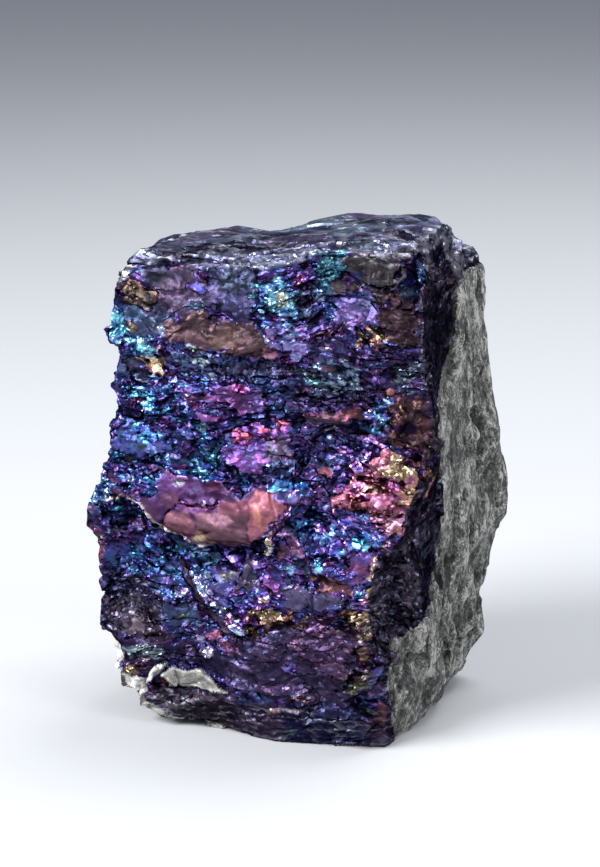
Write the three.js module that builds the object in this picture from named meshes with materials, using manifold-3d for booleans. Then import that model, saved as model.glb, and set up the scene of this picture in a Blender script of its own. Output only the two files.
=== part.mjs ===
// Rough chalcopyrite, the tarnished "peacock" ore, as one broken lump of rock.
//
// The lump is a roughly square block, taller than wide, that broke free along uneven
// fractures. Its front (-Y) is all tarnished sulphide: stepped shell-like flakes with hollows
// under their lower rims. Its right side (+X) is grey host rock that the sulphide grew on.
// Nature made it in one piece, so it is one closed solid. Sizes are millimetres, +Z is up, and
// the lump stands on z = 0 with the middle of its bounding box over the origin.

import * as THREE from "three";
import { ConvexGeometry } from "three/addons/geometries/ConvexGeometry.js";
import { ImprovedNoise } from "three/addons/math/ImprovedNoise.js";
import { mergeVertices } from "three/addons/utils/BufferGeometryUtils.js";
import Module from "manifold-3d";

const wasm = await Module();
wasm.setup();

// ---- driving dimensions ----

const FRONT = 11; // how far the front face stands from the lump's middle
const BACK = 10.4;
const LEFT = 12.4;
const RIGHT = 13.4;
const TOP = 38.9; // the shoulder of the left half; the hump on the right half stands higher
const SHORTEST_EDGE = 0.9; // shorter edges that the joins leave behind are closed up
const LONGEST_EDGE = 2.7; // longer edges of the finished surface are split
const TARNISH = { color: 0x3b2f63, roughness: 0.38, metalness: 0.75 };

// Plan outlines up the height, each counter-clockwise. Near points: front left corner, front,
// arris (the front right edge) and seam (where the grey rock begins). Far points: back right
// corner, back, back left corner and left.
const PLANS = [
  {
    z: 0,
    near: [[-7.7, -10.2], [2.5, -12.7], [11.3, -11], [12, -3.5]],
    far: [[11.1, 7.7], [3, 9.6], [-6.5, 8], [-9.5, -1.5]],
  },
  {
    z: 2.2,
    near: [[-12, -10.2], [1.5, -12.8], [11.4, -11.2], [12.6, -4.5]],
    far: [[12.6, 8.4], [3, 10.2], [-9.5, 8.6], [-12.9, -1.5]],
  },
  {
    z: 6,
    near: [[-12.9, -10.2], [0, -12.2], [10.4, -11.3], [12.8, -5]],
    far: [[13, 8.6], [2.5, 10.6], [-10.4, 8.9], [-13.3, -1]],
  },
  {
    z: 12,
    near: [[-14, -10.3], [-1, -11.4], [9.7, -11], [12.9, -3.6]],
    far: [[14.6, 8.4], [2, 10.8], [-10.6, 9], [-13.7, 0]],
  },
  {
    z: 15,
    near: [[-13.9, -10.5], [-1, -11], [10.4, -11], [13, -3]],
    far: [[15.6, 8.4], [2, 10.6], [-10.8, 8.9], [-13.6, 0]],
  },
  {
    z: 18.5,
    near: [[-13.7, -10.5], [-1, -11.1], [12.6, -11], [13.2, -2.4]],
    far: [[15.4, 8.4], [2, 10.5], [-10.8, 8.8], [-13.4, 0]],
  },
  {
    z: 22,
    near: [[-12.7, -10.5], [-1, -10.8], [14.1, -10.6], [13.4, -2.5]],
    far: [[14.8, 8.6], [2, 10.4], [-10.6, 8.7], [-12.8, 0]],
  },
  {
    z: 28,
    near: [[-11.7, -10.5], [-1, -10.5], [14.5, -10.2], [13.3, -3.5]],
    far: [[13.6, 8.6], [2, 10.4], [-10.2, 8.6], [-12.2, 0]],
  },
  {
    z: 33.5,
    near: [[-11.9, -10.3], [-1, -10.5], [13.7, -10.3], [13.2, 0.5]],
    far: [[13, 8.2], [2, 10], [-10.2, 8.4], [-12.2, -0.5]],
  },
  {
    z: 36.8,
    near: [[-11.7, -10.2], [-1, -10.3], [13.6, -10], [13.4, 0.5]],
    far: [[13.2, 7.8], [2, 9.4], [-9.8, 8], [-12, -1]],
  },
  {
    z: TOP,
    near: [[-10.2, -9.2], [0, -9.4], [12.2, -8.9], [12.3, 0]],
    far: [[11.6, 6.4], [2, 7.6], [-8.2, 6.4], [-10.2, -1]],
  },
].map(({ z, near, far }) => ({ z, at: [...near, ...far] }));

// ---- small tools ----

// A repeatable stream of random numbers from 0 to 1.
function randomStream(seed) {
  let state = seed;
  return () => {
    state = (state * 1664525 + 1013904223) % 4294967296;
    return state / 4294967296;
  };
}

// A closed geometry as a manifold-3d solid.
function solidOf(geometry) {
  const bare = new THREE.BufferGeometry();
  bare.setAttribute("position", geometry.getAttribute("position"));
  if (geometry.index) bare.setIndex(geometry.index);
  const merged = mergeVertices(bare, 1e-4);
  return new wasm.Manifold(
    new wasm.Mesh({
      numProp: 3,
      vertProperties: Float32Array.from(merged.attributes.position.array),
      triVerts: Uint32Array.from(merged.index.array),
    }),
  );
}

// The block: the plan outlines stacked into one closed skin, with a fan at each end.
function stackedPlans(plans) {
  const corners = plans[0].at.length;
  const position = [];
  const index = [];
  plans.forEach(({ z, at }) => at.forEach(([x, y]) => position.push(x, y, z)));
  for (let ring = 0; ring + 1 < plans.length; ring++) {
    for (let i = 0; i < corners; i++) {
      const a = ring * corners + i;
      const b = ring * corners + ((i + 1) % corners);
      index.push(a, b, b + corners, a, b + corners, a + corners);
    }
  }
  const last = (plans.length - 1) * corners;
  for (let i = 1; i + 1 < corners; i++) {
    index.push(0, i + 1, i);
    index.push(last, last + i, last + i + 1);
  }
  return new THREE.BufferGeometry()
    .setAttribute("position", new THREE.BufferAttribute(new Float32Array(position), 3))
    .setIndex(index);
}

// Each side's own axes, across the face, up the face and out of it, and how far out it stands.
const SIDES = {
  front: { axes: [[1, 0, 0], [0, 0, 1], [0, -1, 0]], reach: FRONT },
  right: { axes: [[0, 1, 0], [0, 0, 1], [1, 0, 0]], reach: RIGHT },
  back: { axes: [[-1, 0, 0], [0, 0, 1], [0, 1, 0]], reach: BACK },
  left: { axes: [[0, -1, 0], [0, 0, 1], [-1, 0, 0]], reach: LEFT },
  top: { axes: [[1, 0, 0], [0, 1, 0], [0, 0, 1]], reach: TOP },
};

// Carries a geometry from a side's own axes to the lump. at is across and up the side, and proud
// is how far it stands out of it. lean tips the lower edge out, turn tips the right edge out, and
// spin turns it in the face, all in degrees.
function onSide(geometry, side, { at, proud = 0, lean = 0, turn = 0, spin = 0 }) {
  const { axes, reach } = SIDES[side];
  const tip = new THREE.Euler(...[-lean, -turn, spin].map(THREE.MathUtils.degToRad), "XYZ");
  const basis = axes.map((axis) => new THREE.Vector3(...axis));
  geometry.applyMatrix4(new THREE.Matrix4().makeRotationFromEuler(tip));
  geometry.translate(...at, reach + proud);
  return geometry.applyMatrix4(new THREE.Matrix4().makeBasis(...basis));
}

// How uneven a flake is: its outline wanders in and out by a share of its size, the top of its
// rim lies between two depths, and its face dips a little from corner to corner.
const RAGGED = 0.12;
const RIM = { from: 0.35, to: 0.85 };
const FACE_DIP = 0.25;

// One flake: an uneven many-sided plate whose front is a little smaller than its root, so that
// its rim is a bevel. Its front face is at height 0 and it reaches deep below.
function flake({ wide, high, deep = 3, corners = 9, bevel = 0.16, seed = 1 }) {
  const random = randomStream(seed * 7919);
  const points = [];
  for (let i = 0; i < corners; i++) {
    const angle = ((i + 0.5 * random()) / corners) * 2 * Math.PI;
    const reach = 1 + RAGGED * (2 * random() - 1);
    const x = 0.5 * wide * reach * Math.cos(angle);
    const y = 0.5 * high * reach * Math.sin(angle);
    points.push(new THREE.Vector3(x, y, -deep));
    points.push(new THREE.Vector3(x, y, -THREE.MathUtils.lerp(RIM.from, RIM.to, random())));
    points.push(new THREE.Vector3(x * (1 - bevel), y * (1 - bevel), -FACE_DIP * random()));
  }
  return new ConvexGeometry(points);
}

// A shell-shaped hollow: a stretched ball to cut away.
function hollow({ wide, high, deep }) {
  return new THREE.SphereGeometry(0.5, 14, 8).scale(wide, high, deep);
}

// ---- the front: flakes and hollows where the sulphide broke in steps ----

const FRONT_FLAKES = {
  brown_face: { wide: 17, high: 8.4, at: [-4, 34.9], proud: 0.1, lean: 11, turn: -2, corners: 13, seed: 3 },
  violet_face: {
    wide: 12.5, high: 8.2,
    at: [7.3, 34.7], proud: -0.1, lean: 9, turn: 4, corners: 11, bevel: 0.24, seed: 8,
  },
  left_shoulder: { wide: 5.5, high: 4.6, at: [-9.6, 32.8], proud: 0.1, lean: 10, turn: -10, seed: 12 },
  middle_left: { wide: 9, high: 5.2, at: [-7.9, 27], proud: -0.1, lean: 12, seed: 15 },
  magenta_step: { wide: 9, high: 3.6, at: [-1.6, 27.4], proud: 0.3, lean: 16, spin: -4, seed: 19 },
  red_shell: {
    wide: 8.2, high: 3.0,
    at: [6.2, 27.9], proud: 0.9, lean: 26, spin: 3, corners: 12, seed: 21,
  },
  blue_knot: { wide: 3.6, high: 3.4, at: [10.8, 27.4], proud: 0.7, lean: 8, turn: 8, seed: 23 },
  brown_arris: { wide: 5.5, high: 7.5, at: [12.6, 26.6], proud: -0.5, lean: 3, turn: -14, seed: 24 },
  left_block: { wide: 7.2, high: 5.4, at: [-9, 24], proud: 0.4, lean: 10, turn: -4, seed: 26 },
  magenta_lump: { wide: 8.0, high: 6.2, at: [0.8, 24], proud: 0.9, lean: 14, turn: 3, spin: 6, seed: 29 },
  lip: {
    wide: 17.4, high: 7.0,
    at: [-4.5, 19.4], proud: 1, lean: 17, turn: 3, spin: -2, corners: 15, seed: 31,
  },
  left_bulge: { wide: 5.2, high: 6.4, at: [-12, 17.6], proud: 0.3, lean: 4, turn: -16, seed: 33 },
  knob: {
    wide: 7.6, high: 8.2,
    at: [11.2, 21.2], proud: 1.3, lean: 8, turn: -6, corners: 13, bevel: 0.34, seed: 36,
  },
  violet_patch: { wide: 7.6, high: 5.6, at: [8.5, 16], proud: 0.9, lean: 6, turn: -4, seed: 39 },
  centre_step: { wide: 11.5, high: 6.2, at: [1, 12.6], proud: 1.1, lean: 9, turn: 2, spin: -5, seed: 42 },
  lower_left: {
    wide: 11.5, high: 9.2,
    at: [-8.4, 9.6], proud: 0.5, lean: 5, turn: -3, corners: 11, seed: 45,
  },
  purple_plate: {
    wide: 12.0, high: 7.2,
    at: [5.2, 7.2], proud: 1.9, lean: -3, turn: 1, spin: -3, corners: 11, seed: 48,
  },
  pale_chip: { wide: 6.6, high: 2.0, at: [-7.6, 4.4], proud: 1.3, lean: -22, turn: -6, spin: -4, seed: 51 },
  foot_left: { wide: 11, high: 3.6, at: [-4.6, 2], proud: 1.2, lean: -12, turn: -7, seed: 54 },
  foot_right: { wide: 13, high: 4.4, at: [4.4, 2.2], proud: 1.6, lean: -5, turn: 5, seed: 57 },
};

const FRONT_HOLLOWS = {
  under_brown_face: { wide: 15.5, high: 2.0, deep: 2.6, at: [-4, 29.9], proud: 0.4, spin: 3 },
  under_violet_face: { wide: 8.5, high: 1.8, deep: 2.2, at: [7.6, 30.3], proud: 0.3, spin: -2 },
  under_red_shell: { wide: 8.0, high: 1.5, deep: 3.0, at: [6.4, 26.1], proud: 0.7, spin: 6 },
  black_pocket: { wide: 3.0, high: 4.6, deep: 3.2, at: [5.9, 24.4], proud: 0.2, spin: -8 },
  over_lip: { wide: 11, high: 1.3, deep: 2.2, at: [-5.6, 21.9], proud: 0.7, spin: -3 },
  left_pocket: { wide: 3.6, high: 2.2, deep: 3.0, at: [-11.8, 17.6], proud: 0.7, spin: -14 },
  under_lip_left: { wide: 9.5, high: 1.7, deep: 3.0, at: [-7.6, 15.7], proud: 0.8, spin: -17 },
  under_lip_right: { wide: 8.0, high: 1.8, deep: 3.0, at: [0.4, 15.3], proud: 1, spin: 14 },
  lip_corner: { wide: 2.2, high: 4.6, deep: 3.0, at: [4.6, 18.3], proud: 0.6, spin: -32 },
  knob_crack: { wide: 4.4, high: 0.7, deep: 2.2, at: [11.1, 22.4], proud: 1.6, spin: 2 },
  slant_groove: { wide: 9.0, high: 1.0, deep: 2.4, at: [-3.6, 10.8], proud: 1.1, spin: -57 },
  over_foot: { wide: 9.5, high: 1.1, deep: 2.2, at: [-6.4, 3.2], proud: 1.4, spin: -6 },
  arris_chip: { wide: 3.8, high: 3.2, deep: 3.2, at: [13.9, 37], proud: 0.4, turn: 30 },
};

// ---- the top, and the other sides ----

const TOP_FLAKES = {
  hump: {
    wide: 20, high: 15.5, deep: 5,
    at: [4.6, -1.2], proud: 1.7, turn: 5, corners: 15, bevel: 0.34, seed: 61,
  },
  hump_front: {
    wide: 16, high: 5.4, deep: 4,
    at: [5.6, -7.6], proud: 1.3, lean: 10, turn: 6, corners: 11, bevel: 0.3, seed: 62,
  },
  left_layer: {
    wide: 14, high: 14, deep: 4,
    at: [-4.4, -1.8], proud: 0.4, turn: 4, corners: 12, bevel: 0.3, seed: 64,
  },
  back_layer: {
    wide: 18, high: 6.4, deep: 4,
    at: [3, 4.4], proud: 0.7, lean: -8, turn: 3, corners: 12, bevel: 0.3, seed: 66,
  },
};

// Grey rock splits into upright slivers, so its flakes are tall and narrow. The back and left
// broke more evenly. Each side is strewn with its own mix from across and up, in a loop.
const STREWN = [
  {
    side: "right", seed: 5, count: 13,
    across: [-2, 8], up: [5, 35], proud: 0.2, wide: [2.6, 5], high: [7, 14], tip: 6,
  },
  {
    side: "right", seed: 6, count: 4,
    across: [-8.5, -5.5], up: [6, 34], proud: -0.5, wide: [3, 4.5], high: [7, 10], tip: 7,
  },
  {
    side: "back", seed: 17, count: 16,
    across: [-10, 9], up: [5, 35], proud: -0.1, wide: [5, 10], high: [4, 9], tip: 9,
  },
  {
    side: "left", seed: 25, count: 12,
    across: [-7, 7.5], up: [6, 34], proud: 0.1, wide: [4, 8], high: [4, 8], tip: 9,
  },
];

const SIDE_HOLLOWS = [
  { side: "back", wide: 11, high: 7, deep: 2.6, at: [-4, 27], proud: 0.9, spin: 24 },
  { side: "back", wide: 8, high: 9, deep: 2.4, at: [5.5, 12], proud: 0.9, spin: -15 },
  { side: "left", wide: 8, high: 6, deep: 2.6, at: [1, 29], proud: 0.9, spin: 20 },
  { side: "left", wide: 7, high: 5, deep: 2.4, at: [-3.5, 9], proud: 1.8, spin: -30 },
  { side: "right", wide: 3.2, high: 9, deep: 2.0, at: [2.5, 26], proud: 0.9, spin: 4 },
  { side: "right", wide: 4.0, high: 6, deep: 2.4, at: [6.5, 7], proud: 1.2, spin: -12 },
];

// The underside is broken too: shallow hollows leave flat lands in its middle and at its edges.
const FOOT_HOLLOWS = [
  { wide: 9, high: 6, deep: 1.6, at: [-5.4, -4.6, 0] },
  { wide: 8, high: 5, deep: 1.4, at: [6.6, 4.2, 0] },
  { wide: 7, high: 4, deep: 1.2, at: [6.2, -7.0, 0] },
  { wide: 5, high: 4, deep: 1.0, at: [-2.6, 4.6, 0] },
];

const SEAT_SPREAD = 0.25; // strewn flakes sit this much deeper or prouder than their side's own
const SPIN_PER_TIP = 3; // they turn this many times further in the face than they tip out of it

function strewnFlakes({ side, seed, count, across, up, proud, wide, high, tip }) {
  const random = randomStream(seed);
  const between = ([low, top]) => low + (top - low) * random();
  return Array.from({ length: count }, (_, i) =>
    onSide(
      flake({ wide: between(wide), high: between(high), seed: seed * 100 + i }),
      side,
      {
        at: [between(across), between(up)],
        proud: proud + between([-SEAT_SPREAD, SEAT_SPREAD]),
        lean: between([-tip, tip]),
        turn: between([-tip, tip]),
        spin: SPIN_PER_TIP * between([-tip, tip]),
      },
    ),
  );
}

// ---- the finished surface: even triangles, then a natural unevenness ----

const ON_FOOT = 1e-4; // a point lower than this lies on the foot's plane
const SLIVER = 1e-3; // twice the area of a triangle too thin to keep
const STEEPEST_TURN = 0.3; // the cosine of how far a triangle may turn when an edge closes up

// Closes up every edge shorter than the limit by drawing its ends together, wherever that
// neither pinches the skin nor folds a triangle over. A point on the foot stays on its plane.
function withoutShortEdges(points, triangles, limit) {
  const alive = triangles.map((t) => [...t]);
  const around = points.map(() => new Set());
  alive.forEach((t, i) => t.forEach((v) => around[v].add(i)));
  const neighbours = (v) => new Set([...around[v]].flatMap((i) => alive[i]).filter((w) => w !== v));
  const normalOf = (t, at) => {
    const [p, q, r] = t.map((v) => at.get(v) ?? points[v]);
    return q.clone().sub(p).cross(r.clone().sub(p));
  };
  const folds = (keep, drop, place) =>
    [...around[keep], ...around[drop]].some((i) => {
      const t = alive[i];
      if (t.includes(keep) && t.includes(drop)) return false;
      const before = normalOf(t, new Map());
      const after = normalOf(t, new Map([[keep, place], [drop, place]]));
      const turned = before.dot(after) / (before.length() * after.length());
      return after.length() < SLIVER || turned < STEEPEST_TURN;
    });
  const close = (keep, drop) => {
    const shared = [...neighbours(keep)].filter((v) => neighbours(drop).has(v));
    const place = points[keep].clone().add(points[drop]).multiplyScalar(0.5);
    if (Math.min(points[keep].z, points[drop].z) < ON_FOOT) place.z = 0;
    if (shared.length !== 2 || folds(keep, drop, place)) return false;
    for (const i of [...around[drop]]) {
      const t = alive[i];
      if (t.includes(keep)) {
        t.forEach((v) => around[v].delete(i));
        alive[i] = null;
      } else {
        alive[i] = t.map((v) => (v === drop ? keep : v));
        around[keep].add(i);
      }
    }
    around[drop].clear();
    points[keep] = place;
    return true;
  };
  for (let closed = true; closed; ) {
    closed = false;
    for (let i = 0; i < alive.length; i++) {
      for (let side = 0; side < 3 && alive[i]; side++) {
        const [a, b] = [alive[i][side], alive[i][(side + 1) % 3]];
        if (points[a].distanceTo(points[b]) < limit && close(a, b)) closed = true;
      }
    }
  }
  return alive.filter((t) => t);
}

// Splits every edge longer than the limit at its middle until none is left. Both triangles of an
// edge split it at the same point, so the skin stays closed.
function evenTriangles(points, triangles, limit) {
  let current = triangles;
  for (let long = true; long; ) {
    long = false;
    const middles = new Map();
    const middle = (a, b) => {
      if (points[a].distanceTo(points[b]) <= limit) return -1;
      const key = a < b ? a + "_" + b : b + "_" + a;
      if (!middles.has(key)) {
        points.push(points[a].clone().add(points[b]).multiplyScalar(0.5));
        middles.set(key, points.length - 1);
      }
      return middles.get(key);
    };
    const next = [];
    for (const [a, b, c] of current) {
      const halves = [middle(a, b), middle(b, c), middle(c, a)];
      next.push(...splitTriangle([a, b, c], halves));
    }
    long = middles.size > 0;
    current = next;
  }
  return current;
}

// A triangle with 0 to 3 of its edges split, as smaller triangles that turn the same way.
function splitTriangle([a, b, c], [ab, bc, ca]) {
  const splits = [ab, bc, ca].filter((m) => m >= 0).length;
  if (splits === 0) return [[a, b, c]];
  if (splits === 3) return [[a, ab, ca], [ab, b, bc], [ca, bc, c], [ab, bc, ca]];
  if (splits === 1) {
    if (ab >= 0) return [[a, ab, c], [ab, b, c]];
    if (bc >= 0) return [[a, b, bc], [a, bc, c]];
    return [[a, b, ca], [ca, b, c]];
  }
  if (ab < 0) return [[a, b, bc], [a, bc, ca], [ca, bc, c]];
  if (bc < 0) return [[a, ab, ca], [ab, b, c], [ab, c, ca]];
  return [[a, ab, c], [ab, b, bc], [ab, bc, c]];
}

// The unevenness is smooth noise at two sizes, in three directions that each read the noise at a
// place of their own.
const noise = new ImprovedNoise();
const UNEVENNESS = [{ size: 7, depth: 0.55 }, { size: 2.6, depth: 0.28 }];
const CALM_FOOT = 2.5; // below this height the unevenness fades, so that the foot stays flat

function unevenAt(point) {
  const fade = THREE.MathUtils.smoothstep(point.z, 0, CALM_FOOT);
  const shift = new THREE.Vector3();
  for (const { size, depth } of UNEVENNESS) {
    const { x, y, z } = point.clone().divideScalar(size);
    const along = [noise.noise(x, y, z), noise.noise(y + 31, z, x), noise.noise(z, x + 57, y)];
    shift.add(new THREE.Vector3(...along).multiplyScalar(depth));
  }
  return point.clone().addScaledVector(shift, fade);
}

function finishedGeometry(solid) {
  const { vertProperties, triVerts, numProp } = solid.getMesh();
  const points = [];
  for (let i = 0; i < vertProperties.length; i += numProp) {
    points.push(new THREE.Vector3(...vertProperties.subarray(i, i + 3)));
  }
  const triangles = [];
  for (let i = 0; i < triVerts.length; i += 3) triangles.push([...triVerts.subarray(i, i + 3)]);
  const clean = withoutShortEdges(points, triangles, SHORTEST_EDGE);
  const even = evenTriangles(points, clean, LONGEST_EDGE);
  const skin = new THREE.BufferGeometry().setFromPoints(points.map(unevenAt)).setIndex(even.flat());
  return skin.toNonIndexed(); // leaves out the points that no triangle uses
}

// The space that the lump may fill: its plan outlines pushed out by the depth of a flake on each
// side, so that a flake that runs past an edge breaks off there.
const PROUD = { x: 0.7, front: 2.7, back: 0.7 };

function grownPlans(plans) {
  return plans.map(({ z, at }) => ({
    z,
    at: at.map(([x, y]) => [
      x + Math.sign(x) * PROUD.x,
      y < 0 ? y - (PROUD.front * -y) / FRONT : y + (PROUD.back * y) / BACK,
    ]),
  }));
}

const ROOF_RISE = 3.2;
const ROOF_TAPER = 0.93;
const roof = {
  z: TOP + ROOF_RISE,
  at: PLANS.at(-1).at.map(([x, y]) => [ROOF_TAPER * x, ROOF_TAPER * y]),
};

// ---- putting the lump together ----

let lump = solidOf(stackedPlans(PLANS));

for (const spec of STREWN) {
  for (const geometry of strewnFlakes(spec)) lump = lump.add(solidOf(geometry));
}
for (const { side, ...spec } of SIDE_HOLLOWS) {
  lump = lump.subtract(solidOf(onSide(hollow(spec), side, spec)));
}
for (const spec of Object.values(TOP_FLAKES)) {
  lump = lump.add(solidOf(onSide(flake(spec), "top", spec)));
}
for (const spec of Object.values(FRONT_FLAKES)) {
  lump = lump.add(solidOf(onSide(flake(spec), "front", spec)));
}
for (const spec of Object.values(FRONT_HOLLOWS)) {
  lump = lump.subtract(solidOf(onSide(hollow(spec), "front", spec)));
}

for (const spec of FOOT_HOLLOWS) {
  lump = lump.subtract(solidOf(hollow(spec).translate(...spec.at)));
}
lump = lump.intersect(solidOf(stackedPlans(grownPlans([...PLANS, roof]))));

const geometry = finishedGeometry(lump);
geometry.computeBoundingBox();
const middle = geometry.boundingBox.getCenter(new THREE.Vector3());
geometry.translate(-middle.x, -middle.y, 0);
geometry.computeVertexNormals();

const stone = new THREE.Mesh(geometry, new THREE.MeshStandardMaterial(TARNISH));
stone.name = "chalcopyrite_stone";

const group = new THREE.Group();
group.add(stone);
export default group;
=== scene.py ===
# %% [markdown]
# # A rough lump of tarnished chalcopyrite
#
# Chalcopyrite is a sulphide of copper and iron. Left in air or dipped in acid it grows a film far
# thinner than a hair, and light that bounces inside that film comes back gold, rose, violet or
# blue, depending on how thick the film is. This lump is one broken block of it, built 41 mm tall,
# with the grey rock it grew on still on its right side.
#
# The lump could be sculpted by hand or scanned. Here it is built by code: a broken block, then
# flakes and crystals on it, then the colours of a film of varying thickness.

import itertools
import math

import bmesh
import bpy
import numpy as np
from mathutils import Euler, Matrix, Vector


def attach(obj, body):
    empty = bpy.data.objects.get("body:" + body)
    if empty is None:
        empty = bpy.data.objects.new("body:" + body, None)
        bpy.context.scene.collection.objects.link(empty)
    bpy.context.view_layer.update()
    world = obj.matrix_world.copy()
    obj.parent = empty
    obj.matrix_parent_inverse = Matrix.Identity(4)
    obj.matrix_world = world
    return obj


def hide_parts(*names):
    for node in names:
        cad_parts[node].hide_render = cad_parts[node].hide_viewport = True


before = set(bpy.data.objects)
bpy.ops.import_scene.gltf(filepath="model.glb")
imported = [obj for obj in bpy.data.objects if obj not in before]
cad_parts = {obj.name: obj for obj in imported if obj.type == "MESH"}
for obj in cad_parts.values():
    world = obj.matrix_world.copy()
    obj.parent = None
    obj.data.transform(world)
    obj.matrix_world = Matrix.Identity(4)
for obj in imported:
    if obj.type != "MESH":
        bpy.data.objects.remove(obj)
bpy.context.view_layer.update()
cad_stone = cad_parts["chalcopyrite_stone"]
PER_METRE = 1000.0  # the shaping below is done in millimetres, the lump's own scale

# %% [markdown]
# ## Random numbers that never change
#
# Rock needs thousands of random choices, and they must come out alike on every run. A random
# generator gives them in order, so one extra call would change everything after it. Here each
# choice is instead worked out from the place it belongs to: space is cut in cells, and whole
# numbers of a cell are scrambled to a value from 0 to 1.

# %% Scrambled cells and soft noise
SCRAMBLERS = np.array([73856093, 19349663, 83492791], dtype=np.uint64)


def scramble(cells, salt):
    """One repeatable value from 0 to 1 for each row of whole numbers."""
    mixed = (cells.astype(np.int64).astype(np.uint64) * SCRAMBLERS).sum(axis=1)
    mixed += np.uint64(salt * 7919 + 101)
    for shift in (13, 17, 29):
        mixed = (mixed ^ (mixed >> np.uint64(shift))) * np.uint64(0x9E3779B97F4A7C15)
    return (mixed >> np.uint64(40)).astype(np.float64) / float(1 << 24)


def soft_noise(points, size, salt):
    """Smooth noise from -1 to 1 with lumps of about the given size."""
    scaled = points / size
    home = np.floor(scaled)
    inside = scaled - home
    blend = inside * inside * (3 - 2 * inside)
    total = np.zeros(len(points))
    for corner in itertools.product((0, 1), repeat=3):
        share = np.prod(np.where(corner, blend, 1 - blend), axis=1)
        total += share * scramble(home + corner, salt)
    return 2 * total - 1


def soft_step(value, start, end):
    """0 below start, 1 above end, and a smooth way between."""
    share = np.clip((value - start) / (end - start), 0, 1)
    return share * share * (3 - 2 * share)


probe = np.random.default_rng(1).uniform(-20, 20, (2000, 3))
print("scramble mean", round(scramble(np.floor(probe), 1).mean(), 3))
probed = soft_noise(probe, 3.0, 2)
print("noise range", probed.min().round(2), probed.max().round(2))


# %% [markdown]
# ## Broken crystal faces
#
# Much of the lump is small flat faces that meet at sharp edges. A noise texture
# gives soft lumps, not faces. So space is filled with scattered seeds, every point belongs to its
# nearest seed, and each seed has a plane of its own with its own tilt. Stretching the cells
# flat gives thin layers, and stretching them upright gives slivers.

# %% Cells and tilted planes
def nearest_cell(points, size, salt):
    """The cell whose seed is nearest to each point, and how far the seed is along each axis."""
    scaled = points / np.array(size)
    home = np.floor(scaled)
    shortest = np.full(len(points), np.inf)
    cells = np.zeros_like(scaled)
    away = np.zeros_like(scaled)
    for step in itertools.product((-1, 0, 1), repeat=3):
        cell = home + step
        seed = cell + np.stack([scramble(cell, salt + axis) for axis in range(3)], axis=1)
        gap = scaled - seed
        length = (gap * gap).sum(axis=1)
        nearer = length < shortest
        shortest[nearer] = length[nearer]
        cells[nearer] = cell[nearer]
        away[nearer] = gap[nearer]
    return cells, away


def broken_planes(points, size, salt, tilt=1.0, step=0.5):
    """Height of a surface broken into tilted planes, as a share of the cell size."""
    cells, away = nearest_cell(points, size, salt)
    lean = np.stack([scramble(cells, salt + 11 + axis) for axis in range(3)], axis=1) - 0.5
    return tilt * (away * lean).sum(axis=1) + step * (scramble(cells, salt + 17) - 0.5)


# %% [markdown]
# ## The block
#
# The frame's stone already has the right outline and its main ledges, so it is the starting
# block. Its mesh is copied, its loose triangles are joined, and it is enlarged to millimetres.

# %% Copy the block
shape = bmesh.new()
shape.from_mesh(cad_stone.data)
bmesh.ops.remove_doubles(shape, verts=shape.verts, dist=1e-6)
bmesh.ops.scale(shape, vec=(PER_METRE,) * 3, verts=shape.verts)
print("block:", len(shape.verts), "points,", len(shape.faces), "faces")


# %% [markdown]
# The block's outline is already close. A few soft pushes, each strongest at its centre and gone at
# its reach, move the last corners by less than a millimetre.

# %% Small pushes on the outline
PUSHES = [  # centre, reach and push, all in mm
    ((-11.3, -8.6, 38.4), 3.2, (-0.45, 0, 0.35)), ((-11.0, -2.5, 38.8), 4.0, (-0.25, 0, 0.2)),
    ((-5.0, 6.5, 39.0), 5.0, (0, 0, -0.65)), ((-1.4, -0.8, 40.1), 3.6, (0, 0, -0.5)),
    ((1.6, 6.0, 39.9), 3.4, (0, 0, 0.5)), ((10.0, 5.0, 40.8), 4.2, (0, 0, -0.65)),
    ((-12.6, -10.2, 31.8), 2.4, (0.35, 0, 0)), ((-12.5, -9.3, 28.8), 2.2, (-0.35, 0, 0)),
    ((-14.9, -10.7, 18.4), 2.4, (0.35, 0, 0)), ((-14.4, -10.0, 9.6), 3.4, (0.45, 0, 0)),
    ((-12.8, -9.0, 4.6), 3.4, (-0.85, 0, 0)),
]
for centre, reach, push in PUSHES:
    for vert in shape.verts:
        nearness = max(0.0, 1 - ((vert.co - Vector(centre)).length / reach) ** 2)
        vert.co += nearness * Vector(push)
print("pushes:", len(PUSHES))

# %% [markdown]
# ## Which side is which
#
# The lump has a tarnished front, a dark strip round the front right edge, grey rock on its right
# side, and plainer broken faces elsewhere. Each is a place on the stone, so it is found from the
# position alone. Lines run up the stone: the arris, where the front turns to the right side, and
# two seams, where the grey rock begins on the right and, thinner, on the left.

# %% Side maps
ARRIS_X = [(0, 10.8), (4, 10.7), (6.6, 10.2), (8.8, 9.6), (12.3, 9.3), (15.5, 10.1), (17.1, 11.2),
           (19.3, 12.4), (22, 13.4), (25.6, 13.9), (28.3, 13.9), (30.7, 13.2), (36, 12.9),
           (40, 12.2)]
SEAM_Y = [(0, -8.8), (3.5, -9.4), (5.7, -9.2), (7.5, -9.6), (8.3, -8.2), (9.5, -6.4), (10.6, -4.2),
          (12.0, -2.8), (14.3, -2.1), (17.5, -1.9), (21.4, -2.3), (24, -5.0), (27, -7.0),
          (28.6, -3.4), (30, -1.1), (33, 0.3), (38, -0.5)]
CAP_Z = [(-13.4, 35.8), (-12, 36.3), (-11, 37.6), (-8.3, 38.3), (-3.5, 38.0), (0, 38.1),
         (3.3, 38.9), (5, 39.9), (7, 40.2), (9, 39.6), (11, 39.4), (12, 39.7), (13, 39.4)]
LEFT_SEAM_Y = [(0, -9.4), (3, -9.7), (5.5, -9.8), (7.5, -9.4), (9, -8.6), (14, -8.4),
               (18, -8.8), (21, -9.5), (26.5, -9.5), (28, -8.6), (36, -8.4)]
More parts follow.
